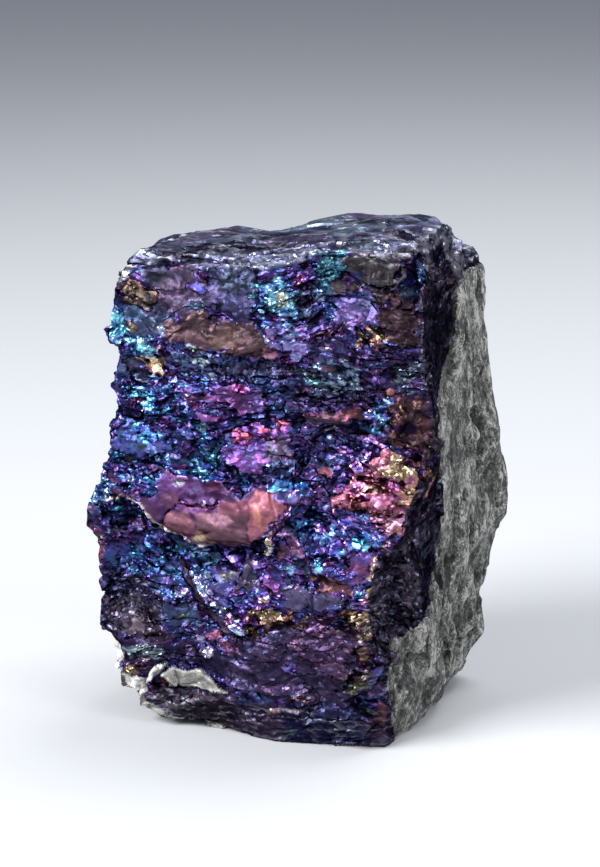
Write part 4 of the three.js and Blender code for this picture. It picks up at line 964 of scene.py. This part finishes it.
# %% Join everything in one skin
VOXEL = 0.13  # mm

stone_mesh = bpy.data.meshes.new("tarnished_lump")
shape.to_mesh(stone_mesh)
shape.free()
lump = bpy.data.objects.new("tarnished_lump", stone_mesh)
bpy.context.scene.collection.objects.link(lump)


def apply_modifier(piece, kind, **settings):
    """Runs one modifier and keeps only its result."""
    modifier = piece.modifiers.new(kind.lower(), kind)
    for name, value in settings.items():
        setattr(modifier, name, value)
    graph = bpy.context.evaluated_depsgraph_get()
    finished = bpy.data.meshes.new_from_object(piece.evaluated_get(graph))
    piece.modifiers.clear()
    piece.data = finished


apply_modifier(lump, "REMESH", mode="VOXEL", voxel_size=VOXEL)
print("skin:", len(lump.data.vertices), "points")


# %% [markdown]
# ## Fine relief
#
# Now each point of the skin moves a little along its own normal. Crystal ground gets broken
# planes at three sizes and low steps like shingles. The cap and the foot get thin layers, and
# the grey rock gets soft knobs. Smooth places move less, and each place's lower edge is lifted.

# %% Move the points
def read_vectors(collection, name):
    flat = np.empty(3 * len(collection))
    collection.foreach_get(name, flat)
    return flat.reshape(-1, 3)


def relief(points, looks, lift, maps):
    """How far each point moves out, in millimetres."""
    crystal = (1 - 0.8 * maps["layered"]) * (1 - maps["rock"]) * looks["rough"]
    grained = grain(points, maps)
    blocks = 1.7 * broken_planes(grained, (1.9, 1.9, 1.2), 50, 0.42, 0.10)
    blocks += 0.8 * broken_planes(grained, (0.9, 0.9, 0.5), 70, 0.55, 0.14)
    blocks += 0.35 * broken_planes(grained, (0.5, 0.5, 0.3), 90, 0.6, 0.18)
    step = grained[:, 2] / 1.5 + 0.9 * soft_noise(points, 3.0, 95)
    shingles = 0.34 * (0.5 - (step - np.floor(step)))
    shingles = shingles * soft_step(soft_noise(points, 2.2, 96), -.5, .6)
    layers = 0.40 * broken_planes(grained, (2.6, 1.8, 0.7), 110, 0.5, 1.0)
    layers += 0.12 * broken_planes(grained, (1.1, 1.0, 0.35), 130, 0.5, 1.0)
    upright = points * (1, 1, 0.55)
    knobs = 0.45 * soft_noise(upright, 2.4, 150) + 0.30 * soft_noise(upright, 1.1, 151)
    slivers = broken_planes(points, (0.9, 0.9, 2), 160)
    knobs += 0.12 * soft_noise(upright, 0.45, 152) - 0.20 * slivers
    knobs -= 0.5 * soft_step(soft_noise(upright, 0.9, 153), 0.35, 0.6)  # pits
    return (crystal * (0.62 * blocks + maps["front"] * shingles) + maps["layered"] * layers
            + maps["rock"] * knobs + lift * (1 - maps["rock"]))


points = read_vectors(lump.data.vertices, "co")
normals = read_vectors(lump.data.vertex_normals, "vector")
looks, lift, maps = paint(points)
calmer = 0.45 + 0.55 * soft_step(-normals[:, 1], -0.1, 0.55)  # plainer sides, top and back
calmer = np.maximum(calmer, 0.9 * maps["rock"])
moved = points + normals * (calmer * relief(points, looks, lift, maps))[:, None]
moved[:, 2] = np.maximum(moved[:, 2], 0)
lump.data.vertices.foreach_set("co", moved.ravel())
lump.data.update()
print("moved by", np.abs(moved - points).max().round(2), "mm at most")

# %% Thin the skin, and more so where it is seen less
MOST_TRIANGLES = 195_000
triangles = 2 * len(lump.data.polygons)
front = side_maps(moved)["front"] > 0.5
right = (moved[:, 0] > 9) & (moved[:, 1] < 7) & ~front
seen_less = lump.vertex_groups.new(name="seen_less")
chips = front & (moved[:, 0] < -1.5) & (np.abs(moved[:, 2] - 4.3) < 1.8)
for share, chosen in ((0.25, front), (0.0, chips), (0.5, right), (1.0, ~front & ~right)):
    seen_less.add(np.flatnonzero(chosen).tolist(), share, "REPLACE")
apply_modifier(lump, "DECIMATE", decimate_type="COLLAPSE", ratio=MOST_TRIANGLES / triangles,
               use_collapse_triangulate=True, vertex_group="seen_less", vertex_group_factor=1.0)
lump.vertex_groups.clear()
print("thinned:", len(lump.data.polygons), "triangles")

# %% [markdown]
# ## Ridges and pits
#
# Pits get painted shade and ridges a painted highlight: the colours are darkened in the hollows
# and lightened on the ridges. To tell them apart, the mesh is smoothed in memory, and each point
# is compared with its smoothed place.

# %% How far each point stands above its surroundings
def standing_out(mesh, rounds):
    """Height of each point over the smoothed mesh, in millimetres."""
    points = read_vectors(mesh.vertices, "co")
    ends = np.empty(2 * len(mesh.edges), dtype=np.int64)
    mesh.edges.foreach_get("vertices", ends)
    ends = np.concatenate([ends.reshape(-1, 2), ends.reshape(-1, 2)[:, ::-1]])
    count = np.bincount(ends[:, 0], minlength=len(points))[:, None]
    smooth = points
    for _ in range(rounds):
        sums = [np.bincount(ends[:, 0], smooth[ends[:, 1], axis], len(points)) for axis in range(3)]
        smooth = 0.5 * smooth + 0.5 * np.stack(sums, axis=1) / count
    outward = read_vectors(mesh.vertex_normals, "vector")
    return ((points - smooth) * outward).sum(axis=1)


ridge = standing_out(lump.data, 24)
print("pits and ridges, mm:", np.percentile(ridge, (2, 50, 98)).round(3))

# %% [markdown]
# ## The colours, point by point
#
# The looks of every point become one colour: the film colour, moved a little up or down the
# film order from crystal to crystal, then dulled, paled and lit by its place. Light and shade are
# painted into it as well: each crystal is painted lighter towards one side, more often its upper
# side, as a tilted face lit from above would be, pits get painted shade and ridges a painted
# highlight, and a little painted blue lifts the darkest places. The result is stored on the mesh
# as a colour attribute, with the bent places of the grain beside it, and the material breaks it
# up further.

# %% Store the colours on the mesh
points = read_vectors(lump.data.vertices, "co")
looks, lift, maps = paint(points)
grained = grain(points, maps)


def slope_across(cells, away, salt):
    """Rises to one side of each cell, and more often to its upper side. It shifts the film, and it
    paints light and shade across the crystal.
    """
    lean = np.stack([scramble(cells, salt + axis) - 0.5 for axis in range(3)], axis=1)
    lean[:, 2] += 0.3
    return (away * lean).sum(axis=1)


facets, facet_away = nearest_cell(grained, (1.3, 1.3, 0.62), 301)
scales, scale_away = nearest_cell(grained, (0.6, 0.6, 0.28), 305)
facet_slope = slope_across(facets, facet_away, 321)
scale_slope = slope_across(scales, scale_away, 331)
lively = 0.12 + 0.88 * looks["rough"]
film = looks["film"] + lively * (1.6 * (scramble(facets, 311) - 0.5) + 1.5 * facet_slope
                                 + 1.1 * (scramble(scales, 312) - 0.5))
tone = film_colour(film)
grey = tone.mean(axis=1, keepdims=True) * DULL_TINT
pull(tone, np.clip(looks["dull"] + 0.03, 0, 1)[:, None], grey)
paleness = looks["pale"] * (0.4 + 0.9 * scramble(scales, 313))
pull(tone, np.clip(paleness, 0, 1)[:, None], PALE)
# random brightness from crystal to crystal, and painted shade and light across each crystal
brightness = 1 + lively * (1.1 * (scramble(facets, 314) - 0.5) + 2.0 * facet_slope
                           + 0.9 * (scramble(scales, 315) - 0.5) + 1.4 * scale_slope)
# painted shade in the pits and a painted highlight on the ridges
brightness = 0.89 * np.clip(brightness, 0.3, 1.6) * np.clip(1 + 4.0 * ridge, 0.3, 1.4)
tone *= (looks["light"] * brightness)[:, None]
tone *= 1.16 / (1 + 0.5 * tone.max(axis=1, keepdims=True))  # bright places keep their colour
# the rock and the quartz get the same painted shade in pits and painted highlight on ridges
stone = np.clip(1 + 4.0 * ridge, 0.4, 1.4) * maps["whiteness"]  # of the rock and the quartz


def store(name, channels):
    """Writes up to three values a point as a colour attribute."""
    rows = np.ones((len(points), 4), dtype=np.float32)
    for index, channel in enumerate(channels):
        rows[:, index] = channel
    layer = lump.data.color_attributes.new(name, "FLOAT_COLOR", "POINT")
    layer.data.foreach_set("color", rows.ravel())


# a little painted blue in every colour: a cast of cool room light that shows in the darkest places
store("tone", np.clip(tone + (0.002, 0.002, 0.010), 0, 1).T)
layered = maps["layered"] * soft_step(points[:, 0], -12.9, -11.9)
# the first channel is the share of painted glints, and the third marks thin layers, whose rims get
# painted highlights
store("finish", (looks["glints"], looks["rough"], layered))
store("stone", (stone, stone, stone))
store("grain", grained.T)
print("mean tone on the front:", tone[maps["front"] > 0.5].mean(axis=0).round(3))

# %% [markdown]
# ## Shared node groups
#
# Two effects are used more than once. Crystal cells give each tiny face a random colour, a tilted
# normal, and a slope and a distance to its edge that the tarnish uses for painted light and shade.
# Streaks are a stretched noise. Each is a node group, built once.

# %% Helpers for node trees
def new_group(name, inputs, outputs):
    """A shader node group with the given sockets, and its two end nodes."""
    tree = bpy.data.node_groups.new(name, "ShaderNodeTree")
    for socket, kind, value in inputs:
        made = tree.interface.new_socket(socket, in_out="INPUT", socket_type=kind)
        if value is not None:
            made.default_value = value
    for socket, kind in outputs:
        tree.interface.new_socket(socket, in_out="OUTPUT", socket_type=kind)
    return tree, tree.nodes.new("NodeGroupInput"), tree.nodes.new("NodeGroupOutput")


def feed(tree, value, socket):
    """Links a socket to a value that varies, or sets it to one that doesn't."""
    if isinstance(value, bpy.types.NodeSocket):
        tree.links.new(value, socket)
    else:
        socket.default_value = value


def node(tree, kind, values=None, **settings):
    """One node, with its settings and its socket values or links."""
    made = tree.nodes.new("ShaderNode" + kind)
    for name, value in settings.items():
        setattr(made, name, value)
    for socket, value in (values or {}).items():
        feed(tree, value, made.inputs[socket])
    return made


def math_node(tree, operation, *values):
    return node(tree, "Math", dict(enumerate(values)), operation=operation).outputs[0]


def vector_node(tree, operation, *values):
    made = node(tree, "VectorMath", operation=operation)
    for index, value in enumerate(values):
        is_scale = operation == "SCALE" and index == 1
        feed(tree, value, made.inputs["Scale" if is_scale else index])
    return made.outputs["Value" if operation == "DOT_PRODUCT" else "Vector"]


def mix_colour(tree, factor, a, b, blend="MIX"):
    values = {0: factor, 6: a, 7: b}
    return node(tree, "Mix", values, data_type="RGBA", blend_type=blend).outputs[2]


def map_range(tree, value, low, high, to_low=0.0, to_high=1.0):
    """Stretches low..high to another range, and stops at its ends."""
    return node(tree, "MapRange", {"Value": value, "From Min": low, "From Max": high,
                                   "To Min": to_low, "To Max": to_high}).outputs[0]


def warped(tree, place, scale, detail, amount):
    """A place pushed about by a noise, so that nothing laid over it stays straight."""
    noise = node(tree, "TexNoise", {"Vector": place, "Scale": scale, "Detail": detail})
    push = vector_node(tree, "SUBTRACT", noise.outputs["Color"], (0.5, 0.5, 0.5))
    return vector_node(tree, "ADD", place, vector_node(tree, "SCALE", push, amount))


# %% The crystal cells group
FLOAT, COLOUR, VECTOR = "NodeSocketFloat", "NodeSocketColor", "NodeSocketVector"
cells, ends_in, ends_out = new_group(
    "crystal_cells",
    [("Place", VECTOR, None), ("Cell size mm", VECTOR, (0.5, 0.5, 0.25)), ("Tilt", FLOAT, 0.5),
     ("Bulge", FLOAT, 0.5), ("Normal", VECTOR, None)],
    [("Random", COLOUR), ("Slope", FLOAT), ("Normal", VECTOR), ("Gap", FLOAT)],
)
shifted = warped(cells, ends_in.outputs["Place"], 1.9, 3.0, 0.55)
cell_place = vector_node(cells, "DIVIDE", shifted, ends_in.outputs["Cell size mm"])
faces = node(cells, "TexVoronoi", {"Vector": cell_place, "Scale": 1.0}, feature="F1")
gaps = node(cells, "TexVoronoi", {"Vector": cell_place, "Scale": 1.0}, feature="DISTANCE_TO_EDGE")
away = vector_node(cells, "SUBTRACT", cell_place, faces.outputs["Position"])
lean = vector_node(cells, "SUBTRACT", faces.outputs["Color"], (0.5, 0.5, 0.5))
# the slope rises more often towards the top, so that painted light falls as if from above
upper = vector_node(cells, "ADD", lean, (0.0, 0.0, 0.3))
slope = vector_node(cells, "DOT_PRODUCT", away, upper)
bulge = vector_node(cells, "SCALE", away, ends_in.outputs["Bulge"])
tilt = vector_node(cells, "SCALE", vector_node(cells, "ADD", lean, bulge), ends_in.outputs["Tilt"])
leaned = vector_node(cells, "NORMALIZE", vector_node(cells, "ADD", ends_in.outputs["Normal"], tilt))
cells.links.new(faces.outputs["Color"], ends_out.inputs["Random"])
cells.links.new(slope, ends_out.inputs["Slope"])
cells.links.new(leaned, ends_out.inputs["Normal"])
cells.links.new(gaps.outputs["Distance"], ends_out.inputs["Gap"])
print("crystal_cells:", len(cells.nodes), "nodes")

# %% The streaks group
streaks, ends_in, ends_out = new_group(
    "streaks", [("Place", VECTOR, None), ("Stretch", VECTOR, (1, 1, 3)), ("Scale", FLOAT, 1.0)],
    [("Amount", FLOAT)])
stretched = vector_node(streaks, "MULTIPLY", ends_in.outputs["Place"], ends_in.outputs["Stretch"])
fibres = node(streaks, "TexNoise", {"Vector": stretched, "Scale": ends_in.outputs["Scale"],
                                    "Detail": 4.0, "Roughness": 0.62})
streaks.links.new(fibres.outputs["Fac"], ends_out.inputs["Amount"])
print("streaks:", len(streaks.nodes), "nodes")


# %% [markdown]
# ## The tarnished sulphide
#
# Under the film this is a metal-like mineral, so the surface is metallic. Its base colour starts
# from the colours stored on the mesh, which already hold painted light and shade. Two sizes of
# crystal cells tilt the normal, so that neighbouring faces catch different lights, as they do on a
# real broken surface. The cells also paint more light and shade into the base colour: each is
# painted lighter on one side, shade is painted in the gaps between them, and some cells are
# painted much brighter than the rest, which makes the painted glints. Thin layers get a painted
# highlight along their upper rims, and the smooth places hardly tilt at all.

# %% Tarnished sulphide
def new_material(name):
    material = bpy.data.materials.new(name)
    material.use_nodes = True
    tree = material.node_tree
    return material, tree, tree.nodes["Principled BSDF"]


def place_in_mm(tree):
    """Object coordinates in millimetres."""
    return vector_node(tree, "SCALE", node(tree, "TexCoord").outputs["Object"], PER_METRE)


def use_group(tree, group, **values):
    made = node(tree, "Group")
    made.node_tree = group
    for name, value in values.items():
        feed(tree, value, made.inputs[name.replace("_", " ")])
    return made


def streaked(tree, place, stretch, scale):
    return use_group(tree, streaks, Place=place, Stretch=stretch, Scale=scale).outputs[0]


def split(tree, colour):
    parts = node(tree, "SeparateColor", {0: colour})
    return parts.outputs[0], parts.outputs[1], parts.outputs[2]


sulphide, tree, shader = new_material("tarnished_sulphide")
tone_layer = node(tree, "Attribute", attribute_name="tone")
finish_layer = node(tree, "Attribute", attribute_name="finish")
glints, rough, layered = split(tree, finish_layer.outputs["Color"])
where = node(tree, "Attribute", attribute_name="grain").outputs["Vector"]
bare_normal = node(tree, "NewGeometry").outputs["Normal"]

tilt_big = math_node(tree, "MULTIPLY_ADD", rough, 0.50, 0.05)
tilt_small = math_node(tree, "MULTIPLY_ADD", rough, 0.50, 0.03)
big = use_group(tree, cells, Place=where, Cell_size_mm=(1.0, 1.0, 0.58), Tilt=tilt_big, Bulge=0.15,
                Normal=bare_normal)
small = use_group(tree, cells, Place=where, Cell_size_mm=(0.5, 0.5, 0.29), Tilt=tilt_small,
                  Bulge=0.15, Normal=big.outputs["Normal"])
big_red, _, big_blue = split(tree, big.outputs["Random"])
small_red, small_green, small_blue = split(tree, small.outputs["Random"])

hue_spread = math_node(tree, "MULTIPLY_ADD", rough, 0.06, 0.02)
off_middle = math_node(tree, "SUBTRACT", small_green, 0.5)
hue = math_node(tree, "MULTIPLY_ADD", off_middle, hue_spread, 0.5)
varied = node(tree, "HueSaturation", {"Hue": hue, "Color": tone_layer.outputs["Color"]}).outputs[0]
# painted light and shade: each cell is lighter on the upper side of its slope, and random from cell
# to cell
big_light = math_node(tree, "MULTIPLY_ADD", big_red, 0.8, 0.6)
big_light = math_node(tree, "MULTIPLY_ADD", big.outputs["Slope"], 1.1, big_light)
small_light = math_node(tree, "MULTIPLY_ADD", math_node(tree, "POWER", small_red, 2.5), 1.05, 0.68)
small_light = math_node(tree, "MULTIPLY_ADD", small.outputs["Slope"], 1.5, small_light)
spread = math_node(tree, "MULTIPLY_ADD", math_node(tree, "POWER", rough, 1.4), 0.75, 0.1)
lightness = math_node(tree, "SUBTRACT", math_node(tree, "MULTIPLY", big_light, small_light), 1.0)
lightness = math_node(tree, "MULTIPLY_ADD", lightness, spread, 1.0)
lightness = math_node(tree, "MAXIMUM", lightness, 0.12)
# painted shade in the gaps between the small crystal cells
seam = map_range(tree, small.outputs["Gap"], 0.0, 0.12, 0.4, 0.0)
seam = math_node(tree, "SUBTRACT", 1.0, math_node(tree, "MULTIPLY", seam, rough))
lightness = math_node(tree, "MULTIPLY", lightness, seam)
silk = map_range(tree, streaked(tree, where, (1.3, 1.3, 3.5), 1.2), 0.3, 0.7, 0.82, 1.18)
bright = vector_node(tree, "SCALE", varied, math_node(tree, "MULTIPLY", lightness, silk))
# painted glints: a few cells, on the upper side of their slope, get a brighter and bluer colour
glint_share = math_node(tree, "MULTIPLY", math_node(tree, "MULTIPLY", glints, big_blue), 0.30)
glint_limit = math_node(tree, "SUBTRACT", 1.0, glint_share)
is_glint = math_node(tree, "GREATER_THAN", small_blue, glint_limit)
on_top = math_node(tree, "GREATER_THAN", small.outputs["Slope"], -0.02)
is_glint = math_node(tree, "MULTIPLY", is_glint, on_top)
glint_colour = vector_node(tree, "SCALE", varied, 1.1)
glint_colour = vector_node(tree, "ADD", glint_colour, (0.026, 0.040, 0.070))
with_glints = mix_colour(tree, is_glint, bright, glint_colour)

# thin layers: dark lens shapes with a painted highlight along their upper rims, clear on the
# cap and faint elsewhere
lens = use_group(tree, cells, Place=where, Cell_size_mm=(2.4, 2.4, 0.5), Tilt=0.0, Bulge=0.0,
                 Normal=bare_normal)
rim = map_range(tree, lens.outputs["Gap"], 0.02, 0.24, 1.0, 0.0)
upper_rim = map_range(tree, lens.outputs["Slope"], -0.05, 0.12)
broken = map_range(tree, streaked(tree, where, (1, 1, 1), 1.5), 0.36, 0.54)
rim_highlight = math_node(tree, "MULTIPLY", math_node(tree, "MULTIPLY", rim, upper_rim), broken)
rim_amount = math_node(tree, "MULTIPLY_ADD", layered, 0.95, 0.01)
rim_highlight = math_node(tree, "MULTIPLY", rim_highlight, rim_amount)
lens_red = split(tree, lens.outputs["Random"])[0]
body = math_node(tree, "MULTIPLY_ADD", layered, math_node(tree, "SUBTRACT", lens_red, 0.75), 1.0)
darker = vector_node(tree, "SCALE", with_glints, body)
finished = mix_colour(tree, rim_highlight, darker, (0.36, 0.37, 0.43, 1))
calmed = vector_node(tree, "ADD", vector_node(tree, "SCALE", finished, 0.35), (0.96, 0.96, 0.96))
finished = vector_node(tree, "DIVIDE", finished, calmed)  # holds back the brightest cells
tree.links.new(finished, shader.inputs["Base Color"])
shader.inputs["Metallic"].default_value = 1.0
shader.inputs["Specular Tint"].default_value = (0.24, 0.24, 0.29, 1)
roughness = math_node(tree, "MULTIPLY_ADD", rough, -0.13, 0.50)
tree.links.new(roughness, shader.inputs["Roughness"])
tree.links.new(small.outputs["Normal"], shader.inputs["Normal"])
print("tarnished_sulphide:", len(tree.nodes), "nodes")

# %% [markdown]
# ## The grey host rock
#
# The rock is a dull mix of pale and dark mineral grains, drawn out upright. It isn't metallic.
# Streaks of three sizes give broad pale and dark patches, the grains in them and fine specks, and
# a few stretched cells are filled with a dark mineral.

# %% Host rock
def colour_ramp(tree, factor, stops):
    """A colour ramp with (position, colour) stops in order."""
    ramp = node(tree, "ValToRGB", {"Fac": factor})
    elements = ramp.color_ramp.elements
    for element, (position, colour) in zip(elements, (stops[0], stops[-1])):
        element.position, element.color = position, colour
    for position, colour in stops[1:-1]:
        elements.new(position).color = colour
    return ramp.outputs["Color"]


host_rock, tree, shader = new_material("grey_host_rock")
where = place_in_mm(tree)
where = warped(tree, where, 0.5, 2.0, 1.2)
patches = streaked(tree, where, (1, 1, 0.6), 0.6)
grains = streaked(tree, where, (1, 1, 0.7), 2.8)
specks = streaked(tree, where, (1, 1, 1), 5.5)
mixed = math_node(tree, "MULTIPLY_ADD", patches, 1.0, 0.025)
mixed = math_node(tree, "MULTIPLY_ADD", math_node(tree, "SUBTRACT", grains, 0.5), 0.85, mixed)
mixed = math_node(tree, "MULTIPLY_ADD", math_node(tree, "SUBTRACT", specks, 0.5), 0.8, mixed)
rock_colour = colour_ramp(tree, mixed, [
    (0.36, (0.017, 0.019, 0.019, 1)), (0.43, (0.051, 0.054, 0.050, 1)),
    (0.51, (0.107, 0.109, 0.101, 1)), (0.59, (0.190, 0.187, 0.173, 1)),
    (0.66, (0.37, 0.365, 0.34, 1))])
spots = use_group(tree, cells, Place=where, Cell_size_mm=(0.5, 0.5, 0.9), Tilt=0.0, Bulge=0.0,
                  Normal=(0, 0, 1))
spot_red = split(tree, spots.outputs["Random"])[0]
inside = map_range(tree, spots.outputs["Gap"], 0.03, 0.14)
spot_red = math_node(tree, "MULTIPLY_ADD", patches, -1.5, spot_red)  # more of them in dark patches
is_spot = math_node(tree, "MULTIPLY", inside, math_node(tree, "GREATER_THAN", spot_red, 0.13))
with_spots = mix_colour(tree, math_node(tree, "MULTIPLY", is_spot, 0.8), rock_colour,
                        (0.015, 0.017, 0.018, 1))
# the stored stone colour adds painted shade in pits and a painted highlight on ridges
stone_layer = node(tree, "Attribute", attribute_name="stone")
shaded = mix_colour(tree, 1.0, with_spots, stone_layer.outputs["Color"], "MULTIPLY")
tree.links.new(shaded, shader.inputs["Base Color"])
shader.inputs["Roughness"].default_value = 0.62
bump = node(tree, "Bump", {"Height": mixed, "Strength": 0.9, "Distance": 0.0006})
tree.links.new(bump.outputs["Normal"], shader.inputs["Normal"])
print("grey_host_rock:", len(tree.nodes), "nodes")

# %% [markdown]
# ## The quartz chips
#
# A few thin chips of quartz are stuck to the lower left. Here they are areas of the skin with a
# finish of their own. They are milky, so light goes into them and comes out again near by, which
# is what subsurface scattering does.

# %% Quartz
quartz, tree, shader = new_material("milky_quartz")
where = place_in_mm(tree)
veins = streaked(tree, where, (1, 1, 1.4), 1.5)
milk = colour_ramp(tree, veins, [(0.32, (0.17, 0.158, 0.14, 1)), (0.62, (0.46, 0.46, 0.44, 1))])
# the stored stone colour holds each chip's whiteness, with painted shade and highlights at pits,
# ridges and its border
stone_layer = node(tree, "Attribute", attribute_name="stone")
shaded = mix_colour(tree, 1.0, milk, stone_layer.outputs["Color"], "MULTIPLY")
tree.links.new(shaded, shader.inputs["Base Color"])
shader.inputs["Roughness"].default_value = 0.22
shader.inputs["Subsurface Weight"].default_value = 0.25
shader.inputs["Subsurface Radius"].default_value = (0.0012, 0.0012, 0.0010)
shader.inputs["Subsurface Scale"].default_value = 1.0
print("milky_quartz:", len(tree.nodes), "nodes")

# %% Give each face its finish, and shade it
for material in (sulphide, host_rock, quartz):
    lump.data.materials.append(material)
corners = np.empty(3 * len(lump.data.polygons), dtype=np.int64)
lump.data.polygons.foreach_get("vertices", corners)
corners = corners.reshape(-1, 3)
face_rock = maps["rock"][corners].mean(axis=1)
face_quartz = maps["quartz"][corners].mean(axis=1)
finish = np.where(face_quartz > 0.5, 2, np.where(face_rock > 0.5, 1, 0)).astype(np.int32)
lump.data.polygons.foreach_set("material_index", finish)
lump.data.transform(Matrix.Scale(1 / PER_METRE, 4))
lump.data.shade_smooth()
lump.data.set_sharp_from_angle(angle=math.radians(25))
lump.data.update()
print("faces of sulphide, rock, quartz:", np.bincount(finish))

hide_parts("chalcopyrite_stone")
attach(lump, "root")

# %% [markdown]
# ## The studio
#
# A glossy metal-like stone shows the room in every crystal face, so the lights matter as much as
# the colours. The strongest of three soft lights stands at the front left, weaker ones at the
# right and behind give edges, and the pale room around is kept low, so that the faces turned away
# from the lights stay dark.

# %% Floor
FLOOR_HALF, FLOOR_FRONT, FLOOR_BACK, FLOOR_RISE = 1.6, 1.2, 0.7, 0.9  # metres
backdrop = bmesh.new()
start = backdrop.verts.new((-FLOOR_HALF, -FLOOR_FRONT, 0))
end = backdrop.verts.new((FLOOR_HALF, -FLOOR_FRONT, 0))
edge = backdrop.edges.new((start, end))
swept = bmesh.ops.extrude_edge_only(backdrop, edges=[edge])
line = [item for item in swept["geom"] if isinstance(item, bmesh.types.BMVert)]
bmesh.ops.translate(backdrop, vec=(0, FLOOR_FRONT + FLOOR_BACK, 0), verts=line)
back_edges = [e for e in backdrop.edges if all(v in line for v in e.verts)]
bmesh.ops.spin(backdrop, geom=line + back_edges, cent=(0, FLOOR_BACK, FLOOR_RISE), axis=(1, 0, 0),
               angle=math.radians(80), steps=16)
bmesh.ops.recalc_face_normals(backdrop, faces=backdrop.faces)
floor_mesh = bpy.data.meshes.new("studio_floor")
backdrop.to_mesh(floor_mesh)
backdrop.free()
floor = bpy.data.objects.new("studio_floor", floor_mesh)
bpy.context.scene.collection.objects.link(floor)
floor_mesh.shade_smooth()
paper, tree, shader = new_material("floor_paper")
shader.inputs["Base Color"].default_value = (0.44, 0.45, 0.465, 1)
shader.inputs["Roughness"].default_value = 0.75
floor_mesh.materials.append(paper)
print("floor points:", len(floor_mesh.vertices))

# %% Lights
LIGHT_AIM = Vector((0, 0, 0.021))


def direction(azimuth, elevation):
    """A direction: azimuth 0 is the front, and positive goes to the right."""
    a, e = math.radians(azimuth), math.radians(elevation)
    return Vector((math.sin(a) * math.cos(e), -math.cos(a) * math.cos(e), math.sin(e)))


def soft_light(name, azimuth, elevation, distance, size, power):
    data = bpy.data.lights.new(name, "AREA")
    data.size, data.energy = size, power
    lamp = bpy.data.objects.new(name, data)
    lamp.location = LIGHT_AIM + direction(azimuth, elevation) * distance
    lamp.rotation_euler = direction(azimuth, elevation).to_track_quat("Z", "Y").to_euler()
    bpy.context.scene.collection.objects.link(lamp)


soft_light("key_light", -38, 38, 0.34, 0.17, 2.3)
soft_light("right_light", 72, 22, 0.36, 0.16, 0.7)
soft_light("top_light", 150, 62, 0.36, 0.22, 1.25)
world = bpy.data.worlds.new("studio_room")
world.use_nodes = True
background = world.node_tree.nodes["Background"]
background.inputs["Color"].default_value = (0.74, 0.80, 0.95, 1)
background.inputs["Strength"].default_value = 0.45
bpy.context.scene.world = world

# %% Camera
CAMERA_AZIMUTH, CAMERA_ELEVATION, CAMERA_DISTANCE = 20, 14, 0.230
CAMERA_TARGET = Vector((-0.000587, 0.000964, 0.0225))
SENSOR = 36
FOCAL_PIXELS, FRAME_HEIGHT = 2760, 867
camera_data = bpy.data.cameras.new("camera")
camera_data.sensor_width = SENSOR
camera_data.lens = SENSOR * FOCAL_PIXELS / FRAME_HEIGHT
camera_data.clip_start = 0.01
camera = bpy.data.objects.new("camera", camera_data)
towards = direction(CAMERA_AZIMUTH, CAMERA_ELEVATION)
camera.location = CAMERA_TARGET + towards * CAMERA_DISTANCE
camera.rotation_euler = towards.to_track_quat("Z", "Y").to_euler()
bpy.context.scene.collection.objects.link(camera)
bpy.context.scene.camera = camera
bpy.context.scene.view_settings.view_transform = "Standard"
